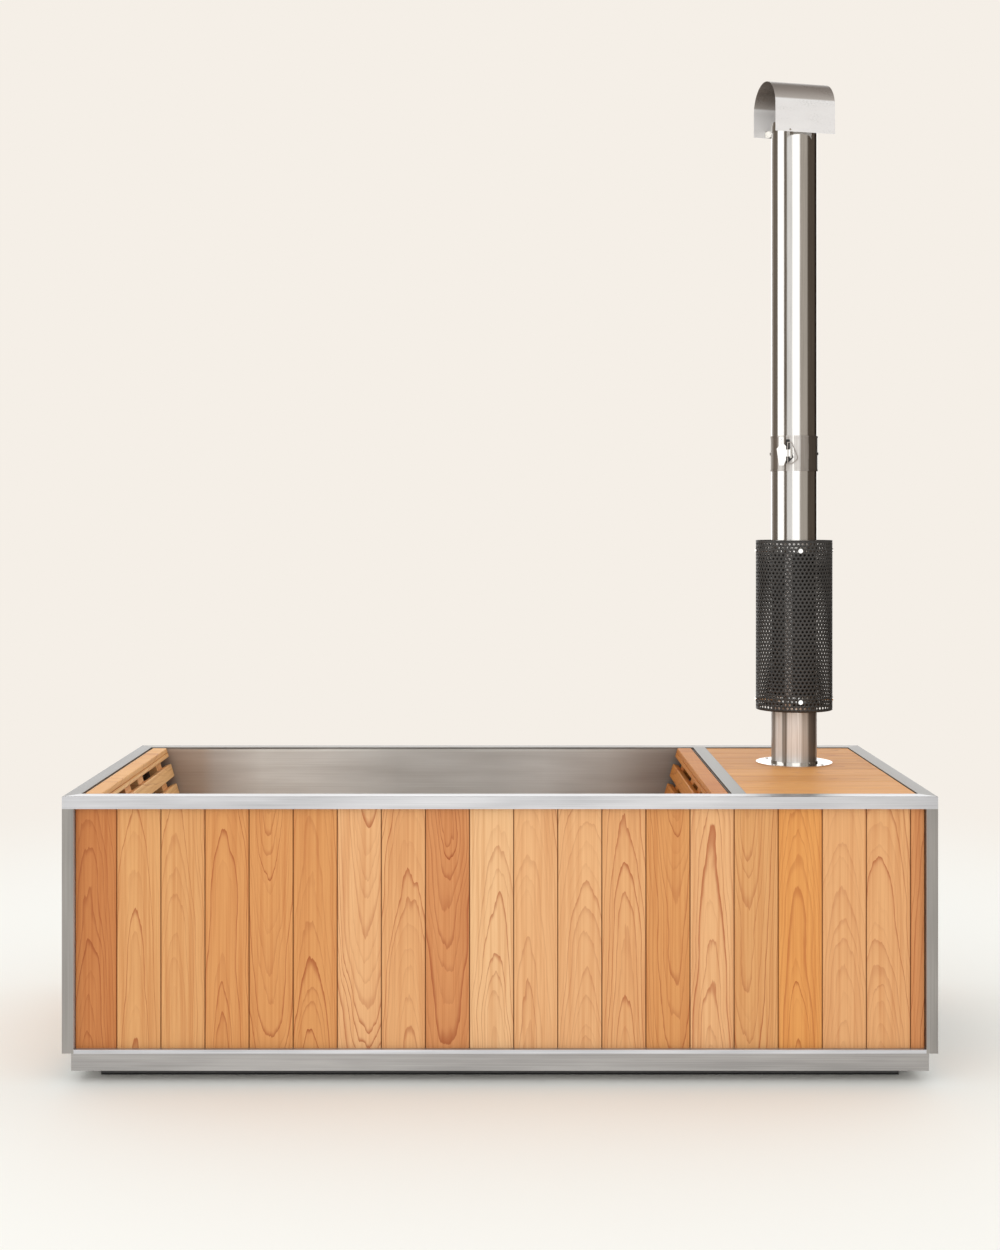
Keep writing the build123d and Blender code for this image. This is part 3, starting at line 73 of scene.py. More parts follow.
def linear(red, green, blue):
    """A colour given as it shows on screen, 0 to 255, as the linear RGBA that shaders use."""
    parts = []
    for value in (red, green, blue):
        share = value / 255
        parts.append(share / 12.92 if share <= 0.04045 else ((share + 0.055) / 1.055) ** 2.4)
    return (*parts, 1.0)


# Small helpers that build shader nodes
class Paint:
    """One material and the few steps that its shader is made from."""

    def __init__(self, name):
        self.material = bpy.data.materials.new(name)
        self.material.use_nodes = True
        self.tree = self.material.node_tree
        self.tree.nodes.clear()
        self.shader = self.tree.nodes.new("ShaderNodeBsdfPrincipled")
        output = self.tree.nodes.new("ShaderNodeOutputMaterial")
        self.tree.links.new(self.shader.outputs[0], output.inputs[0])
        place = self.tree.nodes.new("ShaderNodeTexCoord")
        self.place = place.outputs["Object"]

    def feed(self, socket, value):
        if isinstance(value, bpy.types.NodeSocket):
            self.tree.links.new(value, socket)
        elif value is not None:
            socket.default_value = value

    def set(self, **values):
        for name, value in values.items():
            self.feed(self.shader.inputs[name.replace("_", " ")], value)

    def calc(self, operation, first, second=None, third=None):
        node = self.tree.nodes.new("ShaderNodeMath")
        node.operation = operation
        for index, value in enumerate((first, second, third)):
            self.feed(node.inputs[index], value)
        return node.outputs[0]

    def split(self, vector):
        node = self.tree.nodes.new("ShaderNodeSeparateXYZ")
        self.feed(node.inputs[0], vector)
        return list(node.outputs)

    def join(self, x, y, z):
        node = self.tree.nodes.new("ShaderNodeCombineXYZ")
        for index, value in enumerate((x, y, z)):
            self.feed(node.inputs[index], value)
        return node.outputs[0]

    def noise(self, vector, scale=1.0, detail=2.0, roughness=0.5, dimensions="3D", w=None):
        node = self.tree.nodes.new("ShaderNodeTexNoise")
        node.noise_dimensions = dimensions
        if dimensions != "1D":
            self.feed(node.inputs["Vector"], vector)
        if w is not None:
            self.feed(node.inputs["W"], w)
        self.feed(node.inputs["Scale"], scale)
        self.feed(node.inputs["Detail"], detail)
        self.feed(node.inputs["Roughness"], roughness)
        return node.outputs[0]

    def chance(self, w):
        """Three steady random numbers for one number."""
        node = self.tree.nodes.new("ShaderNodeTexWhiteNoise")
        node.noise_dimensions = "1D"
        self.feed(node.inputs["W"], w)
        parts = self.tree.nodes.new("ShaderNodeSeparateColor")
        self.tree.links.new(node.outputs["Color"], parts.inputs[0])
        return list(parts.outputs)

    def span(self, value, low, high, to_low=0.0, to_high=1.0, smooth=False):
        node = self.tree.nodes.new("ShaderNodeMapRange")
        node.interpolation_type = "SMOOTHSTEP" if smooth else "LINEAR"
        for index, item in enumerate((value, low, high, to_low, to_high)):
            self.feed(node.inputs[index], item)
        return node.outputs[0]

    def ramp(self, value, stops, steps=False):
        node = self.tree.nodes.new("ShaderNodeValToRGB")
        node.color_ramp.interpolation = "CONSTANT" if steps else "LINEAR"
        elements = node.color_ramp.elements
        while len(elements) < len(stops):
            elements.new(0.5)
        for element, (place, colour) in zip(elements, stops):
            element.position = place
        for element, (place, colour) in zip(elements, stops):
            element.color = colour
        self.feed(node.inputs[0], value)
        return node.outputs[0]

    def mix(self, share, first, second, blend="MIX"):
        node = self.tree.nodes.new("ShaderNodeMix")
        node.data_type = "RGBA"
        node.blend_type = blend
        self.feed(node.inputs[0], share)
        self.feed(node.inputs[6], first)
        self.feed(node.inputs[7], second)
        return node.outputs[2]

    def bump(self, height, distance, strength=1.0):
        node = self.tree.nodes.new("ShaderNodeBump")
        self.feed(node.inputs["Strength"], strength)
        self.feed(node.inputs["Distance"], distance)
        self.feed(node.inputs["Height"], height)
        self.feed(self.shader.inputs["Normal"], node.outputs[0])


# Materials
deep = linear(206, 135, 77)
warm = linear(229, 172, 112)
figured = linear(220, 153, 97)
tan = linear(226, 162, 99)
orange = linear(235, 166, 92)
light = linear(244, 198, 146)
pale = linear(240, 188, 134)
honey = linear(235, 179, 123)
deck_dark = linear(221, 159, 88)
deck_light = linear(231, 170, 98)
slat_dark = linear(238, 184, 118)
slat_light = linear(248, 200, 138)
cedar_dark = linear(199, 124, 52)
cedar_light = linear(212, 139, 63)
seam_brown = linear(112, 66, 34)
streak_tint = linear(222, 190, 164)
line_tint = linear(178, 106, 68)
seam_start = 2.2 * MM
seam_end = 0.6 * MM


# Growth rings: where the pith lies behind a board's face, and how it wanders along the board
pith_aside = 22.0 * MM
pith_near = 14.0 * MM
pith_far = 34.0 * MM
pith_wander = 10.0 * MM
least_slant = 0.05
most_slant = 0.11
arch_start = 340.0 * MM
ring_wobble = 4.5 * MM
year_change = 0.7


def growth_rings(paint, u, v, across_place, key, chances, spacing):
    """Rings cut at a slant: how far each point lies through its ring, and that ring's number."""
    first, second, third, fourth = chances
    side = paint.span(first, 0, 1, -pith_aside, pith_aside)
    turn = paint.calc("SIGN", paint.calc("SUBTRACT", second, 0.5))
    slant = paint.span(third, 0, 1, least_slant, most_slant)
    run = paint.calc("ADD", paint.calc("MULTIPLY", u, turn), arch_start)
    shift = paint.calc("MULTIPLY", key, 13.7)
    wander = paint.noise(None, 2.4, 1.0, 0.5, "1D", paint.calc("ADD", u, shift))
    depth = paint.span(fourth, 0, 1, pith_near, pith_far)
    back = paint.calc("ADD", paint.calc("MULTIPLY", run, slant), depth)
    back = paint.calc("ADD", back, paint.span(wander, 0, 1, -pith_wander, pith_wander))
    sway_place = paint.calc("ADD", u, paint.calc("ADD", shift, 5.0))
    sway = paint.noise(None, 3.4, 1.0, 0.5, "1D", sway_place)
    swing = paint.span(sway, 0, 1, -pith_wander, pith_wander)
    offset = paint.calc("ADD", paint.calc("SUBTRACT", v, side), swing)
    wobble_place = paint.join(
        paint.calc("MULTIPLY", across_place, 34.0), paint.calc("MULTIPLY", u, 5.0), key
    )
    wobble = paint.span(paint.noise(wobble_place, 1.0, 3.0, 0.55), 0, 1, -ring_wobble, ring_wobble)
    squares = paint.calc("ADD", paint.calc("POWER", offset, 2.0), paint.calc("POWER", back, 2.0))
    reach = paint.calc("ADD", paint.calc("ADD", paint.calc("SQRT", squares), wobble), 0.5)
    years = paint.noise(None, 70.0, 1.0, 0.5, "1D", paint.calc("ADD", reach, shift))
    change = paint.span(years, 0, 1, -year_change, year_change)
    rings = paint.calc("ADD", paint.calc("DIVIDE", reach, spacing * MM), change)
    ring_key = paint.calc("ADD", paint.calc("FLOOR", rings), key)
    return paint.calc("FRACT", rings), ring_key


def late_wood(paint, ring, ring_key, line):
    """Late wood darkens each ring towards its line; some lines are faint."""
    force, shade = paint.chance(ring_key)[:2]
    rise = paint.span(ring, 0.55, 0.96, 0, 1, True)
    fall = paint.span(ring, 0.96, 1.0, 1, 0, True)
    edge = paint.calc("MULTIPLY", paint.calc("MULTIPLY", rise, rise), fall)
    edge = paint.calc("MULTIPLY", edge, paint.span(paint.calc("POWER", force, 2.0), 0, 1, 0.06, line))
    bands = paint.calc("MULTIPLY", paint.calc("MULTIPLY", ring, fall), paint.span(shade, 0, 1, 0.0, 0.12))
    return edge, bands


def wood(
    name, along, across, start, pitch, middle, tones, seed,
    by_order=True, spacing=6.5, line=0.78, seam=0.0,
):
    """Flat-sawn boards, each with its own nested arches and its own tone."""
    paint = Paint(name)
    axes = paint.split(paint.place)
    u = paint.calc("SUBTRACT", axes[along], middle)
    rows = paint.calc("DIVIDE", paint.calc("SUBTRACT", axes[across], start), pitch)
    index = paint.calc("FLOOR", rows)
    key = paint.calc("ADD", paint.calc("MULTIPLY", index, 7.31), seed)
    chances = paint.chance(key) + paint.chance(paint.calc("ADD", key, 3.7))
    v = paint.calc("MULTIPLY", paint.calc("SUBTRACT", paint.calc("FRACT", rows), 0.5), pitch)
    ring, ring_key = growth_rings(paint, u, v, axes[across], key, chances[:4], spacing)
    edge, bands = late_wood(paint, ring, ring_key, line)

    share = chances[4]
    if by_order:
        place = paint.calc("MULTIPLY", paint.calc("ADD", index, 0.5), 1.0 / len(tones))
        share = paint.calc("FRACT", place)
    stops = [(i / len(tones), tone) for i, tone in enumerate(tones)]
    base = paint.ramp(share, stops, steps=True)
    streak_place = paint.join(
        paint.calc("MULTIPLY", axes[across], 150.0), paint.calc("MULTIPLY", u, 2.2), key
    )
    streak = paint.span(paint.noise(streak_place, 1.0, 2.0, 0.5), 0.35, 0.75, 0, 1, True)
    scaled = []
    for axis in range(3):
        scaled.append(paint.calc("MULTIPLY", axes[axis], 9.0 if axis == along else 900.0))
    fibre = paint.noise(paint.join(*scaled), 1.0, 2.0, 0.6)
    darker = paint.mix(1.0, base, streak_tint, "MULTIPLY")
    line_tone = paint.mix(1.0, base, line_tint, "MULTIPLY")
    colour = paint.mix(paint.calc("MULTIPLY", streak, 0.5), base, darker)
    colour = paint.mix(bands, colour, line_tone)
    colour = paint.mix(edge, colour, line_tone)
    colour = paint.mix(paint.span(fibre, 0.3, 0.7, 0, 0.22), colour, darker)
    if seam:
        half = pitch / 2
        joint = paint.span(paint.calc("ABSOLUTE", v), half - seam_start, half - seam_end, 0, seam)
        colour = paint.mix(joint, colour, seam_brown)
    paint.set(Base_Color=colour, Specular_IOR_Level=0.3)
    paint.set(Roughness=paint.span(fibre, 0, 1, 0.46, 0.62))
    paint.bump(paint.calc("ADD", paint.calc("MULTIPLY", edge, -0.6), fibre), 0.2 * MM, 0.3)
    return paint.material


def brushed(name, along, tone, rough=0.34, streak=0.12, fine=700.0, metallic=0.85, painted_shades=()):
    """Stainless sheet brushed along one axis; each painted shade is a run of tones along an axis that
    paints light and shade into the colour.
    """
    paint = Paint(name)
    axes = paint.split(paint.place)
    scaled = []
    for axis in range(3):
        scaled.append(paint.calc("MULTIPLY", axes[axis], 2.5 if axis == along else fine))
    lines = paint.noise(paint.join(*scaled), 1.0, 3.0, 0.65)
    slow = []
    for axis in range(3):
        slow.append(paint.calc("MULTIPLY", axes[axis], 3.0 if axis == along else 26.0))
    cloud = paint.noise(paint.join(*slow), 1.0, 2.0, 0.5)
    level = paint.calc("ADD", paint.calc("MULTIPLY", lines, 0.5), paint.calc("MULTIPLY", cloud, 0.5))
    dark = tuple(part * (1 - 2.2 * streak) for part in tone[:3]) + (1.0,)
    bright = tuple(min(1.0, part * (1 + 1.2 * streak)) for part in tone[:3]) + (1.0,)
    colour = paint.ramp(level, [(0.36, dark), (0.64, bright)])
    # Painted light and shade, multiplied into the brushed colour
    for axis, low, high, stops in painted_shades:
        shade = paint.ramp(paint.span(axes[axis], low, high), stops)
        colour = paint.mix(1.0, colour, shade, "MULTIPLY")
    paint.set(Base_Color=colour)
    paint.set(Metallic=metallic)
    paint.set(Roughness=paint.span(level, 0.25, 0.75, rough - 0.05, rough + 0.07))
    paint.bump(lines, 0.00004, 0.5)
    return paint.material


def polished(name, tone, rough=0.09, ripple=0.10):
    """Bright rolled stainless with faint waves and handling marks."""
    paint = Paint(name)
    axes = paint.split(paint.place)
    wave_place = paint.join(
        paint.calc("MULTIPLY", axes[0], 14.0),
        paint.calc("MULTIPLY", axes[1], 14.0),
        paint.calc("MULTIPLY", axes[2], 1.5),
    )
    wave = paint.noise(wave_place, 1.0, 1.0, 0.4)
    mark_place = paint.join(
        paint.calc("MULTIPLY", axes[0], 160.0),
        paint.calc("MULTIPLY", axes[1], 160.0),
        paint.calc("MULTIPLY", axes[2], 5.0),
    )
    mark = paint.noise(mark_place, 1.0, 3.0, 0.6)
    dark = tuple(part * 0.9 for part in tone[:3]) + (1.0,)
    paint.set(Base_Color=paint.ramp(mark, [(0.3, dark), (0.6, tone)]))
    paint.set(Metallic=1.0)
    paint.set(Roughness=paint.span(mark, 0.3, 0.7, rough, rough + 0.06))
    paint.bump(wave, 0.002, ripple)
    return paint.material


def rolled_with_painted_light(name, stops, metallic=0.2):
    """Bright pipe near other things: bands of painted light, shade and reflection run round the flue's
    axis.
    """
    paint = Paint(name)
    axes = paint.split(paint.place)
    across = paint.calc("SUBTRACT", axes[0], flue_x)
    towards = paint.calc("SUBTRACT", flue_y, axes[1])
    turn = paint.calc("ARCTAN2", across, towards)
    bands = [((degrees + 180) / 360, tone) for degrees, tone in stops]
    mark_place = paint.join(
        paint.calc("MULTIPLY", axes[0], 300.0), paint.calc("MULTIPLY", axes[1], 300.0),
        paint.calc("MULTIPLY", axes[2], 5.0),
    )
    mark = paint.noise(mark_place, 1.0, 3.0, 0.6)
    shade = paint.ramp(mark, [(0.3, linear(225, 222, 219)), (0.65, linear(255, 255, 255))])
    colour = paint.ramp(paint.span(turn, -math.pi, math.pi), bands)
    paint.set(Base_Color=paint.mix(1.0, colour, shade, "MULTIPLY"))
    paint.set(Metallic=metallic, Roughness=0.35)
    return paint.material


def coated(name, tone, rough=0.55, grain=900.0, depth=0.00006, metallic=0.0):
    """Powder coat or paint with a fine orange peel and a little dust."""
    paint = Paint(name)
    peel = paint.noise(paint.place, grain, 2.0, 0.5)
    dust = paint.noise(paint.place, 9.0, 3.0, 0.6)
    worn = tuple(min(1.0, part * 1.5 + 0.004) for part in tone[:3]) + (1.0,)
    paint.set(Base_Color=paint.ramp(dust, [(0.35, tone), (0.75, worn)]))
    paint.set(Metallic=metallic)
    paint.set(Roughness=paint.span(dust, 0.3, 0.7, rough - 0.05, rough + 0.08))
    paint.bump(peel, depth, 0.6)
    return paint.material


def cast(name, tone):
    """Rough cast iron."""
    return coated(name, tone, 0.7, 260.0, 0.0004)


def rubber(name):
    """Matt black rubber."""
    return coated(name, linear(22, 22, 23), 0.85, 400.0, 0.0001)


def foam(name):
    """Insulation with small closed cells."""
    paint = Paint(name)
    cells = paint.tree.nodes.new("ShaderNodeTexVoronoi")
    cells.inputs["Scale"].default_value = 500.0
    paint.feed(cells.inputs["Vector"], paint.place)
    stops = [(0.0, linear(226, 219, 196)), (1.0, linear(208, 200, 174))]
    paint.set(Base_Color=paint.ramp(cells.outputs[0], stops))
    paint.set(Roughness=0.9)
    paint.bump(cells.outputs[0], 0.0005, 0.7)
    return paint.material


def rope(name):
    """Woven glass rope."""
    paint = Paint(name)
    axes = paint.split(paint.place)
    strands = 1300.0
    across = paint.calc("MULTIPLY", axes[1], strands)
    weave = paint.calc("SINE", paint.calc("ADD", across, paint.calc("MULTIPLY", axes[2], strands)))
    stops = [(0.0, linear(150, 146, 138)), (1.0, linear(206, 201, 190))]
    paint.set(Base_Color=paint.ramp(paint.span(weave, -1, 1), stops))
    paint.set(Roughness=0.9)
    paint.bump(weave, 0.0006, 0.8)
    return paint.material


def stove_glass(name):
    """Heat-proof glass with soot on it."""
    paint = Paint(name)
    soot = paint.noise(paint.place, 14.0, 3.0, 0.6)
    paint.set(Base_Color=paint.ramp(soot, [(0.3, linear(40, 34, 28)), (0.8, linear(92, 84, 74))]))
    paint.set(Roughness=paint.span(soot, 0.3, 0.7, 0.04, 0.2))
    paint.set(Transmission_Weight=0.6, IOR=1.5)
    return paint.material


# One brushed steel throughout; the posts, plinth, far rail, left rail, divider and right rail get darker
# copies of its tone, painted shade for how each part catches the light
steel_tone = linear(199, 199, 201)
post_painted_shade_tone = linear(153, 149, 144)
plinth_painted_shade_tone = linear(166, 163, 160)
far_rail_painted_shade_tone = linear(146, 143, 139)
divider_painted_shade_tone = linear(120, 117, 113)
left_rail_painted_shade_tone = linear(124, 122, 120)
liner_tone = linear(250, 247, 243)
satin_tone = linear(196, 190, 184)
bright_tone = linear(236, 234, 230)
hood_tone = linear(243, 243, 243)

# Painted light, shade and reflections round the flue, by azimuth from the long side seen first
painted_mirror_white = linear(255, 253, 250)
painted_mirror_grey = linear(165, 158, 151)
painted_mirror_warm = linear(205, 196, 187)
painted_mirror_dark = linear(122, 110, 99)
painted_mirror_black = linear(84, 74, 64)
foot_painted_reflections = [
    (-180, painted_mirror_warm), (-150, painted_mirror_dark), (-120, painted_mirror_white), (-98, painted_mirror_grey),
    (-67, painted_mirror_grey), (-61, painted_mirror_white), (-43, painted_mirror_white), (-39, painted_mirror_grey),
    (-33, painted_mirror_grey), (-30, painted_mirror_dark), (-26, painted_mirror_white), (8, painted_mirror_white),
    (12, painted_mirror_warm), (26, painted_mirror_warm), (31, painted_mirror_dark), (55, painted_mirror_black),
    (63, painted_mirror_grey), (80, painted_mirror_grey), (120, painted_mirror_white), (180, painted_mirror_warm),
]
# Painted reflections, highlights and shade on the locking band
strap_painted_highlight = linear(222, 219, 216)
painted_deep_shade = linear(46, 43, 40)
strap_painted_reflections = [
    (-180, painted_mirror_warm), (-150, painted_mirror_dark), (-120, strap_painted_highlight), (-100, painted_mirror_grey),
    (-72, painted_mirror_grey), (-70, painted_mirror_dark), (-54, painted_mirror_dark), (-51, strap_painted_highlight),
    (-35, strap_painted_highlight), (-33, painted_mirror_dark), (-30, painted_mirror_dark), (-28, strap_painted_highlight),
    (4, strap_painted_highlight), (7, painted_mirror_grey), (26, painted_mirror_grey), (29, painted_mirror_black),
    (53, painted_mirror_black), (75, painted_deep_shade), (120, strap_painted_highlight), (180, painted_mirror_warm),
]
# Painted shade on the pipe behind the guard, with a few painted highlights
painted_shade_bands = [
    (-180, painted_deep_shade), (-34, painted_deep_shade), (-31, painted_mirror_white), (-17, painted_mirror_white),
    (-13, painted_deep_shade), (60, painted_deep_shade), (66, painted_mirror_warm), (76, painted_mirror_warm), (80, painted_deep_shade),
    (180, painted_deep_shade),
]

# Painted reflections in the basin: the backrests' brown at its ends and the pale surroundings between
# them, painted into the liner's colour along X
basin_painted_reflections = [
    (0.00, linear(168, 149, 136)), (0.10, linear(202, 186, 174)), (0.125, linear(216, 210, 206)),
    (0.21, linear(255, 255, 254)), (0.31, linear(254, 253, 252)), (0.46, linear(223, 222, 221)),
    (0.64, linear(223, 222, 221)), (0.73, linear(235, 234, 233)), (0.84, linear(219, 215, 211)),
    (0.91, linear(188, 180, 174)), (1.00, linear(146, 139, 133)),
]
# Painted highlight along the top of the liner, just under the rim
rim_painted_highlight = [(0.0, linear(238, 236, 233)), (1.0, linear(255, 254, 252))]
# Painted shade on the hood: pale up its front wall, darker over its top
hood_painted_shade = [
    (0.0, linear(255, 254, 254)), (0.565, linear(252, 251, 251)), (0.595, linear(255, 255, 255)),
    (0.625, linear(190, 183, 177)), (0.78, linear(152, 143, 136)), (1.0, linear(112, 103, 96)),
]

front_order = [
    deep, warm, warm, tan, tan, tan, pale, honey, figured, light,
    pale, pale, honey, tan, pale, warm, orange, honey, honey, figured,
]
side_order = [honey, tan, pale, figured, light, warm, orange, tan, honey]

looks = {
    "front_boards": wood(
        "front_boards", 2, 0, cladding_low.x + first_board - board_pitch, board_pitch, board_middle,
        front_order, 1.0, seam=0.8,
    ),
    "back_boards": wood(
        "back_boards", 2, 0, -cladding_low.x - first_board, board_pitch, board_middle, front_order, 40.0,
        seam=0.8,
    ),
    "left_boards": wood(
        "left_boards", 2, 1, left_cladding_high.y - first_board, board_pitch, board_middle,
        side_order, 80.0, seam=0.8,
    ),
    "right_boards": wood(
        "right_boards", 2, 1, left_cladding_low.y + first_board - board_pitch, board_pitch,
        board_middle, side_order, 120.0, seam=0.8,
    ),
    "deck": wood(
        "deck", 0, 1, deck_low.y, deck_pitch, (deck_low.x + deck_high.x) / 2,
        [deck_dark, deck_light, deck_light], 9.0, by_order=False, spacing=9.0, line=0.4,
    ),
    "backrest": wood(
        "backrest", 1, 2, slat_start, slat_pitch, 0.0, [slat_dark, slat_light, slat_light], 17.0,
        by_order=False, spacing=6.0, line=0.5,
    ),
    "backrest_cedar": wood(
        "backrest_cedar", 1, 2, slat_start, slat_pitch, 0.0, [cedar_dark, cedar_light], 53.0,
        by_order=False, spacing=6.0, line=0.5,
    ),
    "plain_timber": wood(
        "plain_timber", 0, 2, 90 * MM, 300 * MM, 0.0, [tan, honey], 23.0, by_order=False
    ),
    "grip_wood": wood(
        "grip_wood", 1, 2, 400 * MM, 50 * MM, 0.0, [deep, figured], 31.0, by_order=False, spacing=3.0
    ),
    # Lit and shaded copies of one steel: the darker tones of the posts, plinth and rails are painted
    # shade
    "steel_x": brushed("steel_x", 0, steel_tone),
    "steel_far_painted_shade": brushed("steel_far_painted_shade", 0, far_rail_painted_shade_tone),
    "steel_y_painted_shade": brushed("steel_y_painted_shade", 1, divider_painted_shade_tone),
    "steel_left_painted_shade": brushed("steel_left_painted_shade", 1, left_rail_painted_shade_tone),
    "steel_z_painted_shade": brushed("steel_z_painted_shade", 2, post_painted_shade_tone),
    "steel_end_lit_copy": brushed("steel_end_lit_copy", 2, steel_tone, metallic=0.35),
    "plinth": brushed("plinth", 0, plinth_painted_shade_tone, 0.38),
    "liner": brushed("liner", 0, liner_tone, 0.42, 0.08, metallic=0.25, painted_shades=[
        (0, -1.1, 0.6, basin_painted_reflections), (2, rim_top - 16 * MM, rim_top - 8 * MM, rim_painted_highlight),
    ]),
    "hood": brushed("hood", 0, hood_tone, 0.28, 0.03, metallic=0.2, painted_shades=[
        (2, hood_low.z, hood_high.z, hood_painted_shade),
    ]),
    "polished": polished("polished", bright_tone),
    # Painted reflections and painted shade on the flue's foot, the locking band and the pipe behind the
    # guard
    "flue_foot_painted_reflections": rolled_with_painted_light("flue_foot_painted_reflections", foot_painted_reflections),
    "strap": rolled_with_painted_light("strap", strap_painted_reflections, 0.3),
    "flue_painted_shade": rolled_with_painted_light("flue_painted_shade", painted_shade_bands),
    "satin": brushed("satin", 2, satin_tone, 0.42, 0.05),
    "dark_frame": coated("dark_frame", linear(66, 64, 63), 0.6),
    "black_enamel": coated("black_enamel", linear(38, 37, 36), 0.5),
    "guard_black": coated("guard_black", linear(52, 50, 48), 0.42),
    "lever_red": coated("lever_red", linear(168, 38, 30), 0.4, 300.0),
    "iron": cast("iron", linear(58, 55, 52)),
    "rubber": rubber("rubber"),
    "foam": foam("foam"),
    "rope": rope("rope"),
    "glass": stove_glass("glass"),
    "brass": polished("brass", linear(214, 178, 112), 0.25, 0.05),
}


def dress(name, look):
    """Gives a CAD node its material and smooth shading over its soft bends."""
    data = nodes[name].data
    data.materials.clear()
    data.materials.append(looks[look])
    data.polygons.foreach_set("use_smooth", [True] * len(data.polygons))
    data.set_sharp_from_angle(angle=math.radians(32))


cad_looks = {
    "base_rubber": "rubber",
    "base_frame": "dark_frame",
    "plinth_skirt": "plinth",
    "base_plate": "satin",
    "corner_posts": "steel_z_painted_shade",
    "bottom_rails": "steel_x",
    "top_rail_front": "steel_x",
    "top_rail_back": "steel_far_painted_shade",
    "top_rail_left": "steel_left_painted_shade",
    "top_rail_right": "steel_y_painted_shade",
    "divider_rail": "steel_y_painted_shade",
    "cladding_front": "front_boards",
    "cladding_back": "back_boards",
    "cladding_left": "left_boards",
    "cladding_right": "right_boards",
    "cladding_battens": "plain_timber",
    "insulation": "foam",
    "tub_liner": "liner",
    "backrest_left": "backrest",
    "backrest_right": "backrest_cedar",
    "stove_bay_lining": "satin",
    "deck_boards": "deck",
    "deck_battens": "plain_timber",
    "deck_heat_shield": "satin",
    "firebox": "iron",
    "water_jacket": "satin",
    "circulation_pipes": "satin",
    "port_grilles": "satin",
    "fire_grate": "iron",
    "baffle_plate": "iron",
    "stove_cradle": "satin",
    "stove_fascia": "black_enamel",
    "hinge_pins": "polished",
    "stove_door": "black_enamel",
    "door_seal": "rope",
    "door_glass": "glass",
    "glass_retainer": "satin",
    "door_handle": "polished",
    "handle_grip": "grip_wood",
    "latch_keeper": "polished",
    "ash_drawer": "black_enamel",
    "air_wheel": "polished",
    "flue_lower": "polished",
    "flue_upper": "polished",
    "deck_flange": "polished",
    "flange_screws": "polished",
    "heat_guard": "guard_black",
    "guard_clamps": "polished",
    "flue_screws": "polished",
    "locking_band": "strap",
    "band_pin": "polished",
    "band_lever": "polished",
    "band_bail": "satin",
    "rain_cap": "hood",
    "cap_strap": "polished",
    "drain_waste": "satin",
    "drain_pipe": "satin",
    "drain_valve": "brass",
    "drain_ball": "polished",
    "drain_lever": "lever_red",
}
for node_name, look_name in cad_looks.items():
    dress(node_name, look_name)

# Steel on the stove's end faces a dark part of the studio, so these faces get a lit copy of the steel,
# less metallic and showing more of the white light: painted light
end_faces = ("corner_posts", "bottom_rails", "top_rail_right", "plinth_skirt")
for node_name in end_faces:
    data = nodes[node_name].data
    data.materials.append(looks["steel_end_lit_copy"])
    for face in data.polygons:
        if face.normal.x > 0.7:
            face.material_index = 1


# Pieces modelled here
def piece(name, mesh_builder, look, body="tub_body", smooth=35.0):
    """Makes one object from a bmesh, with its material, riding on a body."""
    data = bpy.data.meshes.new(name)
    work = bmesh.new()
    mesh_builder(work)
    bmesh.ops.recalc_face_normals(work, faces=work.faces)
    work.to_mesh(data)
    work.free()
    data.materials.append(looks[look])
    data.polygons.foreach_set("use_smooth", [True] * len(data.polygons))
    data.set_sharp_from_angle(angle=math.radians(smooth))
    made = bpy.data.objects.new(name, data)
    bpy.context.scene.collection.objects.link(made)
    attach(made, body)
    return made


def spun(work, outline, segments=160):
    """Turns a closed outline of (radius, height) points round the flue's axis."""
    rings = []
    for radius, height in outline:
        ring = []
        for i in range(segments):
            angle = 2 * math.pi * i / segments
            x = flue_x + radius * math.cos(angle)
            y = flue_y + radius * math.sin(angle)
            ring.append(work.verts.new((x, y, height)))
        rings.append(ring)
    for low, high in zip(rings, rings[1:] + rings[:1]):
        for i in range(segments):
            j = (i + 1) % segments
            work.faces.new((low[i], low[j], high[j], high[i]))


# Heat guard: sheet with staggered hexagonal holes, rolled to a cylinder
guard_radius = (guard_high.x - guard_low.x) / 2
guard_sheet = 1.5 * MM
guard_middle = guard_radius - guard_sheet / 2
guard_border = 4.0 * MM
hole_columns = 56
hole_rows = 46
hole_radius = 3.7 * MM


def guard_vertex(work, angle, height):
    """A vertex in the middle of the guard's sheet."""
    x = flue_x + guard_middle * math.cos(angle)
    y = flue_y + guard_middle * math.sin(angle)
    return work.verts.new((x, y, height))


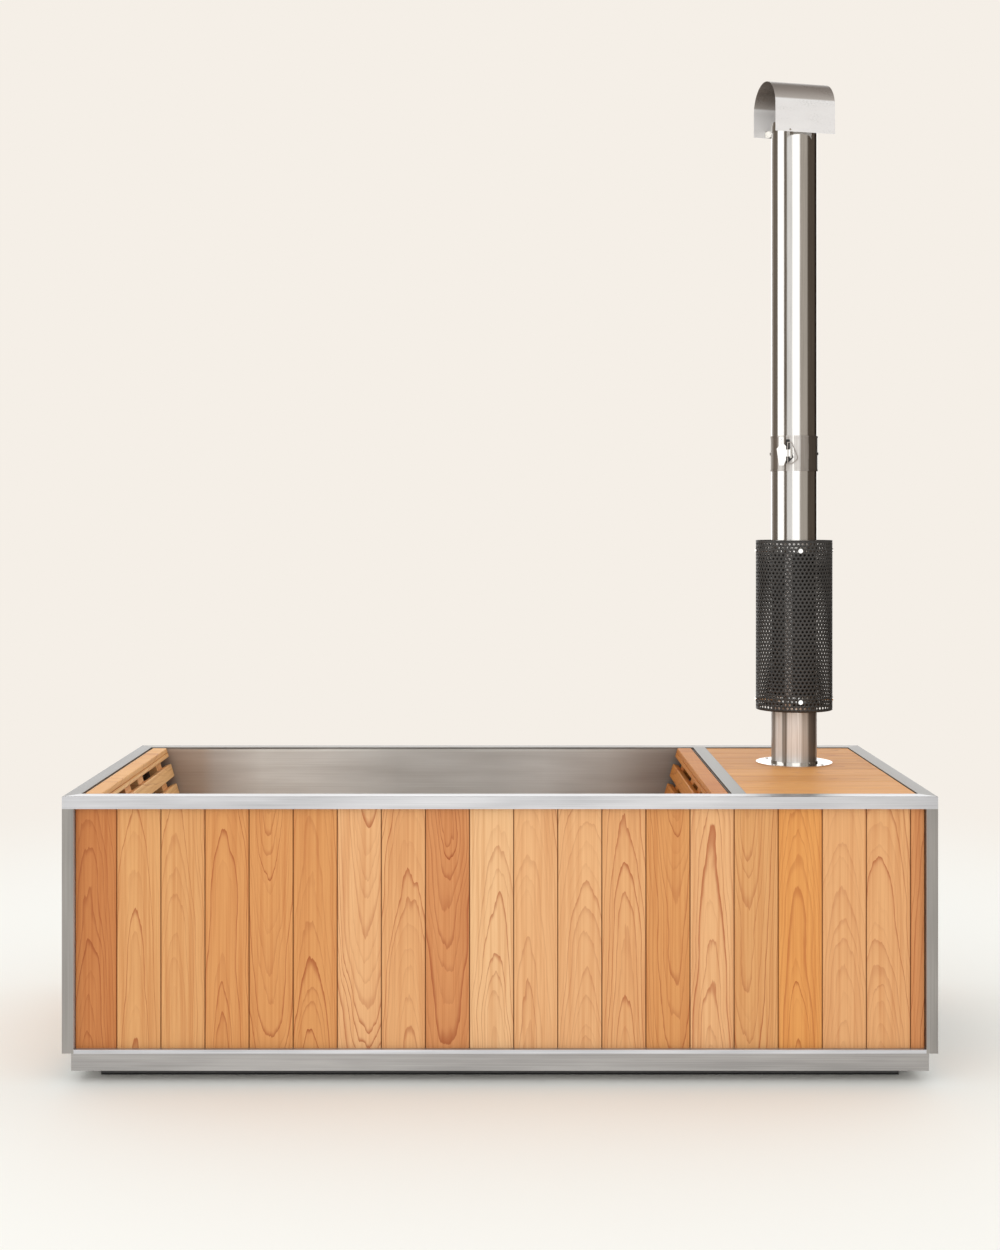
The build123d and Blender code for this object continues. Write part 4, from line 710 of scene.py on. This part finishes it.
def build_guard(work):
    height = guard_high.z - guard_low.z - 2 * guard_border
    step_z = height / (hole_rows + 1.0 / 3.0)
    step_angle = 2 * math.pi / hole_columns
    half_width = guard_middle * step_angle / 2
    corner = step_z * 2 / 3
    cell = [(0, corner), (-half_width, corner / 2), (-half_width, -corner / 2)]
    cell += [(0, -corner), (half_width, -corner / 2), (half_width, corner / 2)]
    hole = []
    for i in range(6):
        angle = math.radians(90 + 60 * i)
        hole.append((hole_radius * math.cos(angle), hole_radius * math.sin(angle)))
    base_z = guard_low.z + guard_border + corner
    top_z = guard_high.z - guard_border
    for row in range(hole_rows):
        centre_z = base_z + row * step_z
        for column in range(hole_columns):
            turn = (column + 0.5 * (row % 2)) * step_angle
            rim = []
            edge = []
            for (px, pz), (qx, qz) in zip(cell, hole):
                for points, sx, sz in ((rim, px, pz), (edge, qx, qz)):
                    z = min(max(centre_z + sz, guard_low.z + guard_border), top_z)
                    points.append(guard_vertex(work, turn + sx / guard_middle, z))
            for i in range(6):
                j = (i + 1) % 6
                work.faces.new((rim[i], rim[j], edge[j], edge[i]))
    # Plain borders close the rows at both ends
    half_turn = hole_columns * 2
    borders = (
        (guard_low.z + guard_border, guard_low.z, corner / 2, 0),
        (top_z, guard_high.z, -corner / 2, hole_rows - 1),
    )
    for near, far, dip, row in borders:
        inner = []
        outer = []
        for i in range(half_turn):
            angle = (0.5 * i + 0.5 * (row % 2)) * step_angle
            inner.append(guard_vertex(work, angle, near + dip * (i % 2)))
            outer.append(guard_vertex(work, angle, far))
        for i in range(half_turn):
            j = (i + 1) % half_turn
            work.faces.new((inner[i], inner[j], outer[j], outer[i]))
    bmesh.ops.remove_doubles(work, verts=work.verts, dist=0.05 * MM)


guard = piece("heat_guard_mesh", build_guard, "guard_black")
thicken = guard.modifiers.new("sheet", "SOLIDIFY")
thicken.thickness = guard_sheet
thicken.offset = 0.0
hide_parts("heat_guard")


# Flue sections; the lower one gets painted reflections of its surroundings at its foot and painted shade
# behind the guard
painted_shade_start = guard_low.z + 14 * MM
painted_shade_end = guard_high.z - 14 * MM
wall = 1.0 * MM


def build_flue_lower(work):
    """The lower section, drawn in at its top to a spigot for the upper one."""
    joint = upper_low.z
    spigot_radius = flue_radius - 1.4 * MM
    outline = [
        (flue_radius - wall, lower_low.z),
        (flue_radius - 0.2 * MM, lower_low.z),
        (flue_radius, lower_low.z + 0.4 * MM),
        (flue_radius, painted_shade_start),
        (flue_radius, painted_shade_end),
        (flue_radius, guard_high.z),
        (flue_radius, joint - 0.4 * MM),
        (flue_radius - 0.4 * MM, joint - 0.2 * MM),
        (spigot_radius, joint),
        (spigot_radius, lower_high.z),
        (spigot_radius - wall, lower_high.z),
        (spigot_radius - wall, joint - 12 * MM),
        (flue_radius - wall, joint - 15 * MM),
    ]
    spun(work, outline)


def build_flue_upper(work):
    outline = [
        (flue_radius - wall, upper_low.z),
        (flue_radius, upper_low.z + 0.2 * MM),
        (flue_radius, upper_high.z - 0.3 * MM),
        (flue_radius - 0.3 * MM, upper_high.z),
        (flue_radius - wall, upper_high.z),
    ]
    spun(work, outline)


lower_pipe = piece("flue_lower_pipe", build_flue_lower, "polished")
lower_pipe.data.materials.append(looks["flue_foot_painted_reflections"])
lower_pipe.data.materials.append(looks["flue_painted_shade"])
# Faces behind the guard take the painted shade, faces at the foot the painted reflections
for face in lower_pipe.data.polygons:
    if painted_shade_start < face.center.z < painted_shade_end:
        face.material_index = 2
    elif face.center.z < guard_high.z:
        face.material_index = 1
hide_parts("flue_lower")
upper_pipe = piece("flue_upper_pipe", build_flue_upper, "polished")
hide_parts("flue_upper")


# Painted shade: a thin dark sheet behind the toggle latch, in the latch's own plane against the band,
# standing in for the shade there
latch_turn = math.radians(-12)
shade_sheet_depth = 69.9 * MM
shade_sheet_thickness = 0.4 * MM
shade_sheet_outline = [
    (-20.7, 40), (-9.5, 40), (-9.5, 17), (1.3, -12), (-12, -26), (-20, -30),
]
band_low, band_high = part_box("locking_band")
band_middle = (band_low.z + band_high.z) / 2


def build_latch_shade_sheet(work):
    layers = []
    for depth in (shade_sheet_depth, shade_sheet_depth + shade_sheet_thickness):
        layer = []
        for across, height in shade_sheet_outline:
            x = across * MM
            turned_x = flue_x + x * math.cos(latch_turn) + depth * math.sin(latch_turn)
            turned_y = flue_y + x * math.sin(latch_turn) - depth * math.cos(latch_turn)
            layer.append(work.verts.new((turned_x, turned_y, band_middle + height * MM)))
        layers.append(layer)
    for layer in layers:
        work.faces.new(layer)
    count = len(shade_sheet_outline)
    for i in range(count):
        j = (i + 1) % count
        work.faces.new((layers[0][i], layers[0][j], layers[1][j], layers[1][i]))


piece("latch_shade_sheet", build_latch_shade_sheet, "black_enamel")


# Stage: a pale floor that fades into the background, and soft light
wall_tone = linear(245, 239, 231)
floor_tone = linear(243, 243, 238)
screen = (1.5, 1.49, 1.47, 1.0)
soft_screen = (0.78, 0.77, 0.76, 1.0)
far_screen = (1.6, 1.59, 1.57, 1.0)
grey_wall = linear(172, 164, 155)
mid_gap = linear(142, 134, 126)
dark_gap = linear(110, 100, 90)
deep_gap = linear(80, 70, 60)
black_gap = linear(32, 22, 14)
dim_roof = linear(131, 122, 114)
dim_from = 0.55
dim_to = 0.85
dome_level = 1.07
floor_half = 60.0
fade_start = 1.6
fade_end = 4.5

# The studio round the object, by azimuth from the side seen first, growing towards +X
screens = [
    (-180, far_screen), (-160, far_screen), (-154, mid_gap), (-137, mid_gap), (-131, dark_gap),
    (-103, dark_gap), (-96, screen), (-64, screen), (-60, dark_gap), (-47, dark_gap),
    (-44, soft_screen), (-20, soft_screen), (-15, screen), (16, screen), (22, grey_wall),
    (60, grey_wall), (65, deep_gap), (115, deep_gap), (120, black_gap), (146, black_gap),
    (156, far_screen), (180, far_screen),
]


def make_floor():
    """A pale floor that fades into the background, with the object's shadow on it."""
    data = bpy.data.meshes.new("floor")
    corners = [
        (-floor_half, -floor_half, 0), (floor_half, -floor_half, 0),
        (floor_half, floor_half, 0), (-floor_half, floor_half, 0),
    ]
    data.from_pydata(corners, [], [(0, 1, 2, 3)])
    paint = Paint("floor")
    paint.tree.nodes.remove(paint.shader)
    diffuse = paint.tree.nodes.new("ShaderNodeBsdfDiffuse")
    diffuse.inputs[0].default_value = floor_tone
    glow = paint.tree.nodes.new("ShaderNodeEmission")
    glow.inputs[0].default_value = wall_tone
    blend = paint.tree.nodes.new("ShaderNodeMixShader")
    x, y = paint.split(paint.place)[:2]
    squares = paint.calc("ADD", paint.calc("POWER", x, 2.0), paint.calc("POWER", y, 2.0))
    radius = paint.calc("SQRT", squares)
    paint.feed(blend.inputs[0], paint.span(radius, fade_start, fade_end, 0, 1, True))
    paint.tree.links.new(diffuse.outputs[0], blend.inputs[1])
    paint.tree.links.new(glow.outputs[0], blend.inputs[2])
    # Metal mirrors the studio's screens through the floor
    path = paint.tree.nodes.new("ShaderNodeLightPath")
    clear = paint.tree.nodes.new("ShaderNodeBsdfTransparent")
    choose = paint.tree.nodes.new("ShaderNodeMixShader")
    paint.tree.links.new(path.outputs["Is Glossy Ray"], choose.inputs[0])
    paint.tree.links.new(blend.outputs[0], choose.inputs[1])
    paint.tree.links.new(clear.outputs[0], choose.inputs[2])
    output = [n for n in paint.tree.nodes if n.type == "OUTPUT_MATERIAL"][0]
    paint.tree.links.new(choose.outputs[0], output.inputs[0])
    data.materials.append(paint.material)
    floor = bpy.data.objects.new("floor", data)
    bpy.context.scene.collection.objects.link(floor)


make_floor()


def make_world():
    """White light all round; metal shows a studio of bright screens and darker gaps instead."""
    world = bpy.data.worlds.new("studio")
    bpy.context.scene.world = world
    world.use_nodes = True
    tree = world.node_tree
    tree.nodes.clear()
    place = tree.nodes.new("ShaderNodeTexCoord")
    parts = tree.nodes.new("ShaderNodeSeparateXYZ")
    tree.links.new(place.outputs["Generated"], parts.inputs[0])
    # The azimuth seen from the object, for the screens
    negative = tree.nodes.new("ShaderNodeMath")
    negative.operation = "MULTIPLY"
    tree.links.new(parts.outputs[1], negative.inputs[0])
    negative.inputs[1].default_value = -1.0
    angle = tree.nodes.new("ShaderNodeMath")
    angle.operation = "ARCTAN2"
    tree.links.new(parts.outputs[0], angle.inputs[0])
    tree.links.new(negative.outputs[0], angle.inputs[1])
    share = tree.nodes.new("ShaderNodeMapRange")
    tree.links.new(angle.outputs[0], share.inputs[0])
    share.inputs[1].default_value = -math.pi
    share.inputs[2].default_value = math.pi
    ramp = tree.nodes.new("ShaderNodeValToRGB")
    elements = ramp.color_ramp.elements
    while len(elements) < len(screens):
        elements.new(0.5)
    for element, (degrees, tone) in zip(elements, screens):
        element.position = (degrees + 180) / 360
    for element, (degrees, tone) in zip(elements, screens):
        element.color = tone
    tree.links.new(share.outputs[0], ramp.inputs[0])
    # Overhead the studio is dim, below the horizon it is bright
    lift = tree.nodes.new("ShaderNodeMapRange")
    tree.links.new(parts.outputs[2], lift.inputs[0])
    lift.inputs[1].default_value = dim_from
    lift.inputs[2].default_value = dim_to
    overhead = tree.nodes.new("ShaderNodeMix")
    overhead.data_type = "RGBA"
    tree.links.new(lift.outputs[0], overhead.inputs[0])
    tree.links.new(ramp.outputs[0], overhead.inputs[6])
    overhead.inputs[7].default_value = dim_roof
    shown = tree.nodes.new("ShaderNodeBackground")
    tree.links.new(overhead.outputs[2], shown.inputs[0])
    lit = tree.nodes.new("ShaderNodeBackground")
    lit.inputs[0].default_value = (1.0, 1.0, 1.0, 1.0)
    lit.inputs[1].default_value = dome_level
    seen = tree.nodes.new("ShaderNodeBackground")
    seen.inputs[0].default_value = wall_tone
    path = tree.nodes.new("ShaderNodeLightPath")
    metal = tree.nodes.new("ShaderNodeMixShader")
    tree.links.new(path.outputs["Is Glossy Ray"], metal.inputs[0])
    tree.links.new(lit.outputs[0], metal.inputs[1])
    tree.links.new(shown.outputs[0], metal.inputs[2])
    choose = tree.nodes.new("ShaderNodeMixShader")
    tree.links.new(path.outputs["Is Camera Ray"], choose.inputs[0])
    tree.links.new(metal.outputs[0], choose.inputs[1])
    tree.links.new(seen.outputs[0], choose.inputs[2])
    output = tree.nodes.new("ShaderNodeOutputWorld")
    tree.links.new(choose.outputs[0], output.inputs[0])


make_world()


def soft_box(name, place, aim, size, power):
    """A large soft lamp that looks at a point."""
    data = bpy.data.lights.new(name, "AREA")
    data.shape = "RECTANGLE"
    data.size = size
    data.size_y = size
    data.energy = power
    lamp = bpy.data.objects.new(name, data)
    lamp.location = place
    lamp.visible_glossy = False
    lamp.rotation_euler = (Vector(aim) - Vector(place)).to_track_quat("-Z", "Y").to_euler()
    bpy.context.scene.collection.objects.link(lamp)


soft_box("key", place=(-2.5, -4.5, 3.5), aim=(0, 0, 0.4), size=2.5, power=14)


def make_camera():
    data = bpy.data.cameras.new("camera")
    data.sensor_fit = "AUTO"
    data.sensor_width = 36.0
    data.lens = focal_px / image_height_px * data.sensor_width
    data.shift_y = horizon_below_centre_px / image_height_px
    camera = bpy.data.objects.new("camera", data)
    camera.location = (0.0, -camera_distance, camera_height)
    camera.rotation_euler = (math.radians(90), 0.0, 0.0)
    bpy.context.scene.collection.objects.link(camera)
    bpy.context.scene.camera = camera


make_camera()
bpy.context.scene.view_settings.view_transform = "Standard"
